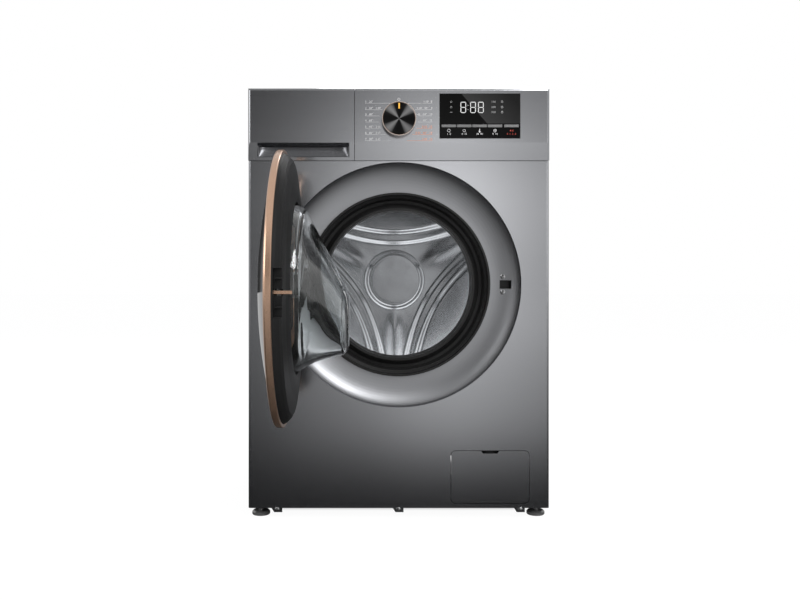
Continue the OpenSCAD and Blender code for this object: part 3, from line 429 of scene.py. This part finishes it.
def plate(mesh, x0, x1, z0, z1, y, thick, bevel=0.0):
    """A thin bevelled plate on the front: from y towards the user by thick."""
    made = bmesh.ops.create_cube(mesh, size=1.0)["verts"]
    bmesh.ops.scale(mesh, verts=made, vec=(x1 - x0, thick, z1 - z0))
    bmesh.ops.translate(mesh, verts=made, vec=((x0 + x1) / 2, y - thick / 2, (z0 + z1) / 2))
    if bevel:
        edges = list({e for v in made for e in v.link_edges})
        bmesh.ops.bevel(mesh, geom=edges, offset=bevel, offset_type="OFFSET", affect="EDGES", segments=2,
                        profile=0.5, material=-1)


def lay(mesh, made):
    """Adds a finished drawing to a piece's mesh."""
    part = bpy.data.meshes.new("part")
    made.to_mesh(part)
    made.free()
    mesh.from_mesh(part)
    bpy.data.meshes.remove(part)


def lift(mesh, made, way):
    """Moves what an extrusion has made by way."""
    bmesh.ops.translate(mesh, verts=[g for g in made if isinstance(g, bmesh.types.BMVert)], vec=way)


def screw(mesh, centre, direction, radius, height=0.0018, turn=0.4):
    """A pan head with a pressed cross, drawn from a grid whose rim is pushed out to a circle."""
    grid = bmesh.new()
    bmesh.ops.create_grid(grid, x_segments=9, y_segments=9, size=1.0)
    cross = []
    for face in grid.faces:
        c = face.calc_center_median()
        if max(abs(c.x), abs(c.y)) < 0.66 and min(abs(c.x), abs(c.y)) < 0.12:
            cross.append(face)
    for v in grid.verts:
        x, y = v.co.x, v.co.y
        v.co.x, v.co.y = x * math.sqrt(1 - y * y / 2), y * math.sqrt(1 - x * x / 2)
    bmesh.ops.inset_region(grid, faces=cross, thickness=0.03, depth=0.0)
    bmesh.ops.translate(grid, verts=list({v for f in cross for v in f.verts}), vec=(0, 0, -0.9))
    for v in grid.verts:
        if v.co.z > -0.5:
            v.co.z = math.sqrt(max(0.0, 1 - 0.72 * (v.co.x ** 2 + v.co.y ** 2)))
    rim = [e for e in grid.edges if e.is_boundary]
    lift(grid, bmesh.ops.extrude_edge_only(grid, edges=rim)["geom"], (0, 0, -0.6))
    bmesh.ops.contextual_create(grid, geom=[e for e in grid.edges if e.is_boundary])
    bmesh.ops.scale(grid, verts=grid.verts, vec=(radius, radius, height))
    aimed = Vector((0, 0, 1)).rotation_difference(Vector(direction)).to_matrix().to_4x4()
    bmesh.ops.transform(grid, verts=grid.verts,
                        matrix=Matrix.Translation(centre) @ aimed @ Matrix.Rotation(turn, 4, "Z"))
    lay(mesh, grid)


def spin_round_y(mesh, line, steps):
    """Joins the points of a line and spins it once round the Y axis."""
    edges = [mesh.edges.new(pair) for pair in zip(line, line[1:])]
    bmesh.ops.spin(mesh, geom=line + edges, cent=(0, 0, 0), axis=(0, 1, 0), angle=2 * math.pi, steps=steps,
                   use_merge=True)


# ---------------------------------------------------------------- drum

def smooth_step(value, low, high):
    t = min(1.0, max(0.0, (value - low) / (high - low)))
    return t * t * (3 - 2 * t)


def seen_from(turn, x, z):
    """How far a point lies along a spoke at an angle in degrees, and how far across it."""
    a = math.radians(turn)
    return x * math.cos(a) + z * math.sin(a), -x * math.sin(a) + z * math.cos(a)


def pressed_height(x, z):
    """How far the drum's back stands towards the user at a point of it, in millimetres."""
    r = math.hypot(x, z)
    waist, bend = 84, 0.50    # nearest reach of a petal's edge to the axis, and how strongly it bends away
    petals = arm = 0.0
    for turn in (90, 210, 330):
        along, across = seen_from(turn, x, z)
        if along > 0:
            past = along - math.hypot(waist, bend * across) + waist
            petals = max(petals, 6.5 * smooth_step(past, 84, 97) + 8.5 * smooth_step(past, 110, 124))
    petals *= 1 - smooth_step(r, 219, 236)
    for turn in (30, 150, 270):
        along, across = seen_from(turn, x, z)
        if along > 0:
            arm = max(arm, math.exp(-(across / 15.0) ** 2) * smooth_step(along, 60, 120))
    hub = 5.5 * (1 - smooth_step(r, 61, 73)) - 0.5 * math.exp(-((r - 59.0) / 0.9) ** 2)
    return petals + hub + 3.0 * arm * (1 - smooth_step(r, 190, 225))


back_face_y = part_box("drum_back")[1].y - 0.0002
rim_radius, rows = 244.6, 84    # millimetres
sheet = bmesh.new()
line = [sheet.verts.new((rim_radius * (k / rows) ** 0.93 if k else 0.4, 0, 0)) for k in range(rows + 1)]
spin_round_y(sheet, line, 240)
middle = [e for e in sheet.edges if e.is_boundary and e.verts[0].co.length < 1]
bmesh.ops.contextual_create(sheet, geom=middle)
for v in sheet.verts:
    v.co.y = -pressed_height(v.co.x, v.co.z)
bmesh.ops.scale(sheet, verts=sheet.verts, vec=(MM, MM, MM))
bmesh.ops.translate(sheet, verts=sheet.verts, vec=(0, back_face_y, drum_axis_z))
drum_pressing = piece("drum_pressing", sheet, plain_drum_steel, "drum", smooth_angle=80)
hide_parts("drum_back")


# ---------------------------------------------------------------- outer pane of the door

pane_radius, pane_rise, pane_base, pane_wall, pane_rows = 0.2249, 0.0309, 0.01405, 0.0024, 48
pane_ball = (pane_radius ** 2 + pane_rise ** 2) / (2 * pane_rise)
pane = bmesh.new()
pane_line = []
for wall, order in ((0.0, range(pane_rows + 1)), (pane_wall, range(pane_rows, -1, -1))):
    for k in order:
        r = pane_radius * max(k, 0.02) / pane_rows
        dome = math.sqrt(pane_ball ** 2 - r * r) - (pane_ball - pane_rise)
        pane_line.append(pane.verts.new((r, -(pane_base - wall + dome), 0)))
spin_round_y(pane, pane_line, 160)
for side in (-1, 1):    # the small holes at the outer and the inner pole
    hole = [e for e in pane.edges
            if e.is_boundary and side * (e.verts[0].co.y + pane_base + pane_rise - pane_wall / 2) > 0]
    bmesh.ops.contextual_create(pane, geom=hole)
bmesh.ops.translate(pane, verts=pane.verts, vec=(0, front_y, drum_axis_z))
swung_open(pane)
door_pane = piece("door_pane", pane, finish_of["door_dome"], "door", smooth_angle=40)
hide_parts("door_dome")


# ---------------------------------------------------------------- glass bowl of the door

# each is (distance in front of the front panel, drop of the centre, radius), in millimetres
bowl_stations = [(-14.0, 0, 147.0), (-22.0, 0, 143.0), (-30.0, 0, 139.1), (-38.0, 1.5, 132.5),
                 (-60.0, 20, 105.1), (-94.0, 48, 69.6), (-102.0, 54, 59.0), (-106.5, 57, 50.0),
                 (-108.5, 58, 40.0), (-109.0, 58, 20.0)]
bowl_steps = 6    # rings from one station to the next


def between(values, t):
    """A smooth run through the stations: t counts them."""
    k = min(int(t), len(values) - 2)
    u = t - k
    around = (values[max(0, min(len(values) - 1, k + d))] for d in (-1, 0, 1, 2))
    return tuple(0.5 * (2 * b + (c - a) * u + (2 * a - 5 * b + 4 * c - d) * u * u
                        + (3 * b - a - 3 * c + d) * u ** 3) for a, b, c, d in zip(*around))


bowl = bmesh.new()
bowl_rings = bowl_steps * (len(bowl_stations) - 1)
last_loop = None
for k in range(bowl_rings + 1):
    f, drop, radius = between(bowl_stations, k / bowl_steps)
    ring = bmesh.ops.create_circle(bowl, cap_ends=k == bowl_rings, segments=120, radius=radius * MM)["verts"]
    bmesh.ops.transform(bowl, verts=ring, matrix=at_front(0, drum_axis_z - drop * MM, front_y - f * MM))
    loop = list({e for v in ring for e in v.link_edges if e.other_vert(v) in ring})
    if last_loop:
        bmesh.ops.bridge_loops(bowl, edges=last_loop + loop)
    last_loop = loop
swung_open(bowl)
door_glass = piece("door_glass", bowl, bowl_glass, "door", smooth_angle=60)
shell = door_glass.modifiers.new("wall", "SOLIDIFY")
shell.thickness = 0.0075
shell.offset = -1
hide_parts("door_bowl")


# ---------------------------------------------------------------- screws

screws = bmesh.new()
rear_y, cover_y, cover_screws_r = 0.2802, 0.2812, 0.176
for dz in (-0.0155, 0.0155):    # beside the latch's slot
    screw(screws, (0.209, front_y + 0.0232, drum_axis_z + dz), (-0.2, -1, 0), 0.0048, height=0.0016, turn=0.5)
for x in (-0.2405, -0.0005, 0.2405):    # in the front panel's lower tabs
    screw(screws, (x, front_y + 0.0004, 0.0175), (0, -1, 0), 0.0046, height=0.0022, turn=0.2 + 9 * x)
for x in (-0.288, 0.288):    # up the sides of the rear panel
    for z in (0.06, 0.25, 0.44, 0.63, 0.80):
        screw(screws, (x * 0.985, rear_y, z), (0, 1, 0), 0.0042, turn=7 * z)
for x in (-0.18, 0.0, 0.18):    # along its lower and upper edge
    for z in (0.036, 0.822):
        screw(screws, (x, rear_y, z), (0, 1, 0), 0.0042, turn=9 * x + z)
for k in range(8):    # round the rear cover
    a = math.radians(45 * k + 22.5)
    screw(screws, (cover_screws_r * math.cos(a), cover_y, drum_axis_z + cover_screws_r * math.sin(a)),
          (0, 1, 0), 0.0042, turn=a)
screw_set = piece("screw_set", screws, brushed("screw_steel", grey(0.40, 0.02), 0.25, 2), "cabinet")


# ---------------------------------------------------------------- drawer's finger scoop

scoop_x, scoop_half, scoop_z, scoop_high, scoop_deep = -0.1883, 0.0898, 0.7125, 0.0222, 0.0128
scoop = bmesh.new()
bmesh.ops.create_grid(scoop, x_segments=72, y_segments=20, size=1.0)
for v in scoop.verts:
    u, w = v.co.x, (v.co.y + 1) / 2
    ends = (1 - abs(u) ** 9) ** 0.5
    hollow = scoop_deep * ends * math.sin(w * math.pi / 2) ** 0.8 * w ** 0.25
    v.co = Vector((scoop_x + scoop_half * u, hollow + 0.0004 - 0.0045 * w + front_y - 0.0020,
                   scoop_z + scoop_high * w + 0.0006 * (1 - ends)))
# the liner is darker than the drawer front: painted shade in the recess
scoop_painted_shade = speckled("scoop_painted_shade", (0.13, 0.132, 0.14), 0.26, 0.9, grain=1200, depth=0.000005)
drawer_scoop = piece("drawer_scoop", scoop, scoop_painted_shade, "drawer", smooth_angle=70)
wall = drawer_scoop.modifiers.new("wall", "SOLIDIFY")
wall.thickness = 0.0008
wall.offset = 1


# ---------------------------------------------------------------- marks on the control panel

def paint(name, colour, glow=0.0):
    f = Finish(name, Roughness=0.5)
    tone = f.tint(f.noise(f.place(), 300.0), (0.3, shades(colour, 0.06)[0]), (0.7, colour))
    f.put("Base Color", tone)
    # glow makes the mark give off light of its own; on print it is a painted glow
    if glow:
        f.put("Emission Color", tone)
        f.put("Emission Strength", glow)
    return f.material


def ring_mark(mesh, x, z, y, radius, width, thick=0.0001, segments=32):
    """A flat ring on the front, or with few segments the outline of a polygon."""
    made = bmesh.new()
    bmesh.ops.create_circle(made, cap_ends=True, segments=segments, radius=radius)
    face = made.faces[:]
    bmesh.ops.inset_region(made, faces=face, use_boundary=True, thickness=width, depth=0)
    bmesh.ops.delete(made, geom=face, context="FACES")
    lift(made, bmesh.ops.extrude_face_region(made, geom=made.faces[:])["geom"], (0, 0, thick))
    bmesh.ops.transform(made, verts=made.verts, matrix=at_front(x, z, y))
    lay(mesh, made)


def slanted_line(mesh, a, b, y, width, thick=0.0001):
    """A thin painted line between two points of the panel, given as (x, z)."""
    (x0, z0), (x1, z1) = a, b
    made = bmesh.new()
    cube = bmesh.ops.create_cube(made, size=1.0)["verts"]
    bmesh.ops.scale(made, verts=cube, vec=(math.hypot(x1 - x0, z1 - z0), width, thick))
    slope = Matrix.Rotation(math.atan2(z1 - z0, x1 - x0), 3, "Z")
    bmesh.ops.rotate(made, verts=cube, cent=(0, 0, 0), matrix=slope)
    bmesh.ops.transform(made, verts=made.verts, matrix=at_front((x0 + x1) / 2, (z0 + z1) / 2, y - thick / 2))
    lay(mesh, made)


def number(mesh, words, x, z, y, size, align="LEFT"):
    """A plain number, made a mesh and laid on the panel."""
    thin = 0.00005
    curve = bpy.data.curves.new("number", "FONT")
    curve.body = words
    curve.size = size
    curve.align_x = align
    curve.extrude = thin
    curve.resolution_u = 2
    holder = bpy.data.objects.new("number", curve)
    scene.collection.objects.link(holder)
    bpy.context.view_layer.update()
    flat = bpy.data.meshes.new_from_object(holder.evaluated_get(bpy.context.evaluated_depsgraph_get()))
    made = bmesh.new()
    made.from_mesh(flat)
    bmesh.ops.transform(made, verts=made.verts, matrix=at_front(x, z, y - thin))
    bpy.data.objects.remove(holder)
    bpy.data.curves.remove(curve)
    bpy.data.meshes.remove(flat)
    lay(mesh, made)


dial_white = paint("dial_white", grey(0.60))
dial_orange = paint("dial_orange", (0.70, 0.22, 0.08))
glow_white = paint("glow_white", grey(0.62), 0.2)
# these two give off a faint light of their own: a painted glow
grey_mark_painted_glow = paint("grey_mark_painted_glow", grey(0.35), 0.05)
red_mark_painted_glow = paint("red_mark_painted_glow", (0.45, 0.05, 0.03), 0.08)

leaders = bmesh.new()
warm_leaders = bmesh.new()
rows_z = [0.8200, 0.8072, 0.7950, 0.7830, 0.7706, 0.7584, 0.7462]
labels_left = ("1   20\u00b0", "2   30\u00b0   1:00", "3   40\u00b0", "4   60\u00b0",
               "5   40\u00b0   2:30", "6   60\u00b0   3:00", "7   30\u00b0   0:45")
labels_right = ("1:10   8", "2:20   40\u00b0   9", "1:45   30\u00b0   10", "40\u00b0   11",
                "0:15   12", "0:30   40\u00b0   13", "1:00   14")
dial_clear, least_start = 0.0385, 0.0165    # how near the lines come to the knob's centre
for k, z in enumerate(rows_z):
    dz = z - knob_z
    start = max(math.sqrt(max(0.0, dial_clear ** 2 - dz * dz)), least_start)
    for side, far, words, align in ((-1, -0.0665, labels_left[k], "LEFT"),
                                    (1, 0.0660, labels_right[k], "RIGHT")):
        mesh = warm_leaders if side > 0 and k >= 4 else leaders
        slanted_line(mesh, (side * start, z), (far, z), fascia_y, 0.00042)
        if k == 0:
            slanted_line(mesh, (side * start, z), (side * 0.0130, z - 0.0045), fascia_y, 0.00055)
        number(mesh, words, far, z + 0.0012, fascia_y, 0.0058, align)
ring_mark(leaders, knob_x, 0.8278, fascia_y, 0.0026, 0.0006)
slanted_line(leaders, (0, 0.8276), (0, 0.8312), fascia_y, 0.0006)
piece("dial_marks", leaders, dial_white, "cabinet")
piece("dial_marks_warm", warm_leaders, dial_orange, "cabinet")

pointer = bmesh.new()
cap_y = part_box("knob_cap")[0].y
plate(pointer, -0.0014, 0.0014, knob_z + 0.0190, knob_z + 0.0300, cap_y + 0.0008, 0.0010, 0.0002)
# the pointer line glows though it is no lamp: a painted glow
piece("knob_pointer", pointer, paint("pointer_amber_painted_glow", (0.80, 0.42, 0.05), 0.3), "knob")
bezel = bmesh.new()
ring_mark(bezel, knob_x, knob_z, cap_y + 0.0003, 0.0332, 0.0011, 0.0006, 96)
piece("knob_bezel", bezel, brushed("bezel_bright", (0.62, 0.55, 0.50), 0.2, 0), "knob")


# ---------------------------------------------------------------- marks behind the display window

def segment_digit(mesh, x, z, wide, high, y, lit="abcdefg"):
    """Seven bars with pointed ends, as in a plain segment display."""
    thick, gap = 0.0014, 0.0004
    hexagon_half = 0.433    # half the width of a hexagon of radius 0.5 across its flats
    bars = {"a": (0, high / 2, 1), "g": (0, 0, 1), "d": (0, -high / 2, 1), "f": (-wide / 2, high / 4, 0),
            "b": (wide / 2, high / 4, 0), "e": (-wide / 2, -high / 4, 0), "c": (wide / 2, -high / 4, 0)}
    for key in lit:
        bx, bz, flat = bars[key]
        span = (wide if flat else high / 2) - 2 * gap
        bar = bmesh.new()
        made = bmesh.ops.create_circle(bar, cap_ends=True, segments=6, radius=0.5)["verts"]
        upright_turn = Matrix.Rotation(math.radians(30 if flat else 0), 3, "Z")
        bmesh.ops.rotate(bar, verts=made, cent=(0, 0, 0), matrix=upright_turn)
        for v in made:
            long, short = (v.co.x, v.co.y) if flat else (v.co.y, v.co.x)
            side = max(-1.0, min(1.0, short / hexagon_half))
            end = (1 if long > 0 else -1) * (span / 2 - (thick / 2) * abs(side)) if abs(long) > 0.01 else 0
            v.co = Vector((end, side * thick / 2, 0)) if flat else Vector((side * thick / 2, end, 0))
        bmesh.ops.transform(bar, verts=bar.verts, matrix=at_front(x + bx, z + bz, y))
        lay(mesh, bar)


window_y = glass_y - 0.00003
ink = 0.00006    # thickness of the window's marks
display_z = 0.8117
digits = bmesh.new()
for x in (0.1270, 0.1462, 0.1617):
    segment_digit(digits, x, display_z, 0.0096, 0.0205, window_y)
for dz in (-0.004, 0.004):
    plate(digits, 0.1358, 0.1370, display_z + dz - 0.0006, display_z + dz + 0.0006, window_y, ink)
piece("display_digits", digits, glow_white, "cabinet")

icons = bmesh.new()
for k, dz in enumerate((0.011, 0.0005, -0.0095)):
    z = display_z + dz
    if k < 2:
        ring_mark(icons, 0.1030, z, window_y, 0.0019, 0.0005, ink, 16)
    else:
        plate(icons, 0.1010, 0.1050, z - 0.0004, z + 0.0004, window_y, ink)
    number(icons, ("1:00", "2:00", "3:00")[k], 0.1865, z - 0.0015, window_y, 0.0050, "CENTER")
    ring_mark(icons, 0.2035, z, window_y, 0.0021, 0.0005, ink, 16)
    plate(icons, 0.2031, 0.2039, z, z + 0.0029, window_y, ink)
piece("display_icons", icons, grey_mark_painted_glow, "cabinet")

key_marks = bmesh.new()
red_marks = bmesh.new()
key_centres = [0.0986 + 0.0303 * k + (0.002 if k == 4 else 0) for k in range(5)]
key_numbers = ("1  2", "0  15", "20  90", "0  14", "0  1  2  3")
top = 0.7660
for k, x in enumerate(key_centres):
    mesh = red_marks if k == 4 else key_marks
    if k == 0:
        ring_mark(mesh, x, top, window_y, 0.0030, 0.0006, ink, 20)
    elif k == 1:
        ring_mark(mesh, x, top, window_y, 0.0031, 0.0006, ink, 6)
    elif k == 2:
        plate(mesh, x - 0.0006, x + 0.0006, top - 0.001, top + 0.0035, window_y, ink)
        ring_mark(mesh, x, top - 0.0022, window_y, 0.0017, 0.0012, ink, 16)
    elif k == 3:
        ring_mark(mesh, x, top, window_y, 0.0031, 0.0006, ink, 20)
        ring_mark(mesh, x, top, window_y, 0.0016, 0.0006, ink, 16)
    else:
        for dx in (0.0012, 0.0030):
            plate(mesh, x + dx, x + dx + 0.0008, top - 0.0017, top + 0.0017, window_y, ink)
        ring_mark(mesh, x - 0.0018, top, window_y, 0.0021, 0.00205, ink, 3)
    number(mesh, key_numbers[k], x, top - 0.0082, window_y, 0.0050, "CENTER")
# the key marks are print and glow white as the digits do: a painted glow
piece("key_marks", key_marks, glow_white, "cabinet")
piece("key_marks_red", red_marks, red_mark_painted_glow, "cabinet")


# ---------------------------------------------------------------- studio

# what the front mirrors from side to side, as stops of (direction, level)
sideways_light = ((-1.0, 0.5), (-0.5, 0.18), (-0.2, 0.06), (-0.13, 0.08), (-0.07, 0.24), (-0.012, 0.60),
                  (0.03, 1.0), (0.065, 1.2), (0.095, 1.15), (0.155, 0.57), (0.2, 0.40), (0.35, 0.3),
                  (0.5, 1.6), (0.62, 1.6), (0.75, 0.4), (1.0, 0.6))
sideways_floor = ((-1.0, 0.5), (-0.5, 0.2), (-0.2, 0.12), (-0.13, 0.18), (-0.07, 0.38), (-0.012, 0.60),
                  (0.045, 0.93), (0.09, 1.0), (0.155, 0.72), (0.2, 0.52), (0.5, 0.35), (1.0, 0.6))
# and with distance in front of the machine, along the floor
floor_ahead = ((-0.7, 0.5), (-0.1, 0.1), (0.1, 0.015), (0.25, 0.04), (0.55, 0.13), (0.8, 0.24),
               (1.14, 0.35), (1.6, 0.42), (3.4, 0.58), (6.0, 0.74), (10.0, 0.70))
camera_reach = 1.85    # from the front panel to the camera
white_floor = 1.06     # what the floor shows the camera

floor_mesh = bmesh.new()
bmesh.ops.create_grid(floor_mesh, x_segments=1, y_segments=1, size=12.0)
f = Finish("studio_floor", Roughness=0.9, Specular_IOR_Level=0.1)
f.put("Base Color", f.tint(f.noise(f.place(), 1.5), (0.3, grey(0.80)), (0.7, grey(0.82))))
paths = f.add("ShaderNodeLightPath").outputs
mirrored = paths["Is Glossy Ray"]
floor_x, floor_y = f.axes(f.place())[:2]
ahead_of_front = f.math("SUBTRACT", front_y, floor_y)
away = f.math("MAXIMUM", f.math("ADD", ahead_of_front, camera_reach), 0.2)
aside = f.math("DIVIDE", f.math("SUBTRACT", floor_x, camera.location.x), away)
floor_level = f.math("MULTIPLY", f.run(aside, *sideways_floor), f.run(ahead_of_front, *floor_ahead))
less = f.math("SUBTRACT", f.math("MULTIPLY", floor_level, 2.0), white_floor)
glow = f.add("ShaderNodeEmission")
glow.inputs["Color"].default_value = (1, 1, 1, 1)
f.join(f.math("ADD", f.math("MULTIPLY", mirrored, less), white_floor), glow.inputs["Strength"])
# the floor under the cabinet stays in shade
middle_y, shade_half = 0.03, 0.25
off_middle = f.math("ABSOLUTE", f.math("SUBTRACT", floor_y, middle_y))
from_middle = f.math("MAXIMUM", f.math("ABSOLUTE", floor_x), off_middle)
in_open = f.spread(from_middle, shade_half - 0.05, shade_half, 0.0, 0.90)
seen = f.math("MAXIMUM", paths["Is Camera Ray"], paths["Is Transmission Ray"])
f.show(f.math("MAXIMUM", f.math("MULTIPLY", seen, in_open), mirrored), f.shader.outputs[0], glow.outputs[0])
floor = piece("floor", floor_mesh, f.material, None)

# a band of light just inside the drum's wall, which only bright metal mirrors, and from some way off
band_radius, band_depth, band_gap = 0.238, 0.19, 0.05
band_mesh = bmesh.new()
bmesh.ops.create_cone(band_mesh, cap_ends=False, segments=48, radius1=band_radius, radius2=band_radius,
                      depth=band_depth)
bmesh.ops.transform(band_mesh, verts=band_mesh.verts,
                    matrix=Matrix.Translation((0, front_y + 0.225, drum_axis_z))
                    @ Matrix.Rotation(math.radians(90), 4, "X"))
f = Finish("drum_light")
glow = f.add("ShaderNodeEmission")
glow.inputs["Strength"].default_value = 4.5
level = f.run(f.about(drum_axis_z)[2], (-0.24, 1.0), (-0.05, 0.55), (0.1, 0.42), (0.24, 0.12))
f.join(level, glow.inputs["Color"])
far_off = f.spread(f.add("ShaderNodeLightPath").outputs["Ray Length"], band_gap, band_gap + 0.01)
f.show(far_off, f.add("ShaderNodeBsdfTransparent").outputs[0], glow.outputs[0])
band = piece("drum_light", band_mesh, f.material, None)
for kind in ("camera", "diffuse", "transmission", "shadow", "volume_scatter"):
    setattr(band, "visible_" + kind, False)

# the sky is white to the camera; metal mirrors a room of its own
scene.world = bpy.data.worlds.new("studio")
scene.world.use_nodes = True
sky = Graph(scene.world.node_tree)
way_x, way_y, way_z = sky.axes(sky.add("ShaderNodeTexCoord").outputs["Generated"])
upright = sky.run(way_z, (-1.0, 0.6), (0.0, 0.76), (0.02, 0.92), (0.075, 1.0), (0.11, 0.78), (0.16, 0.38),
                  (0.22, 0.20), (0.38, 0.20), (0.6, 0.55), (1.0, 0.8))
across = sky.run(way_x, *sideways_light)
ahead = sky.math("MULTIPLY", sky.math("MULTIPLY", upright, across), 2.0)
turned = sky.run(way_y, (-1.0, 1.0), (-0.85, 1.0), (-0.55, 0.0), (1.0, 0.0))
behind = sky.run(way_y, (-1.0, 0.7), (0.86, 0.7), (0.95, 0.04), (1.0, 0.02))
paths = sky.add("ShaderNodeLightPath").outputs
lit = sky.blend(paths["Is Glossy Ray"], (0.5, 0.5, 0.51, 1), sky.blend(turned, behind, ahead))
seen = sky.math("MAXIMUM", paths["Is Camera Ray"], paths["Is Transmission Ray"])
background = sky.add("ShaderNodeBackground")
sky.join(sky.blend(seen, lit, (1, 1, 1, 1)), background.inputs["Color"])
sky.join(background.outputs[0], sky.add("ShaderNodeOutputWorld").inputs[0])


def lamp(name, place, aim, width, height, power):
    data = bpy.data.lights.new(name, "AREA")
    data.shape = "RECTANGLE"
    data.size, data.size_y = width, height
    data.energy = power
    made = bpy.data.objects.new(name, data)
    made.location = place
    made.rotation_euler = (Vector(aim) - Vector(place)).to_track_quat("-Z", "Y").to_euler()
    scene.collection.objects.link(made)
    return made


lamp("key_lamp", (1.5, -2.6, 2.5), (0.1, -0.28, 0.6), 1.4, 1.4, 60)
lamp("fill_lamp", (-2.2, -2.4, 1.8), (-0.1, -0.3, 0.5), 1.2, 1.6, 25)
lamp("drum_lamp", (0.15, -2.4, 0.95), (0, 0.1, 0.45), 0.5, 0.35, 8).visible_glossy = False
lamp("back_lamp", (0.4, 2.6, 2.2), (0, 0.3, 0.5), 1.6, 1.2, 40)
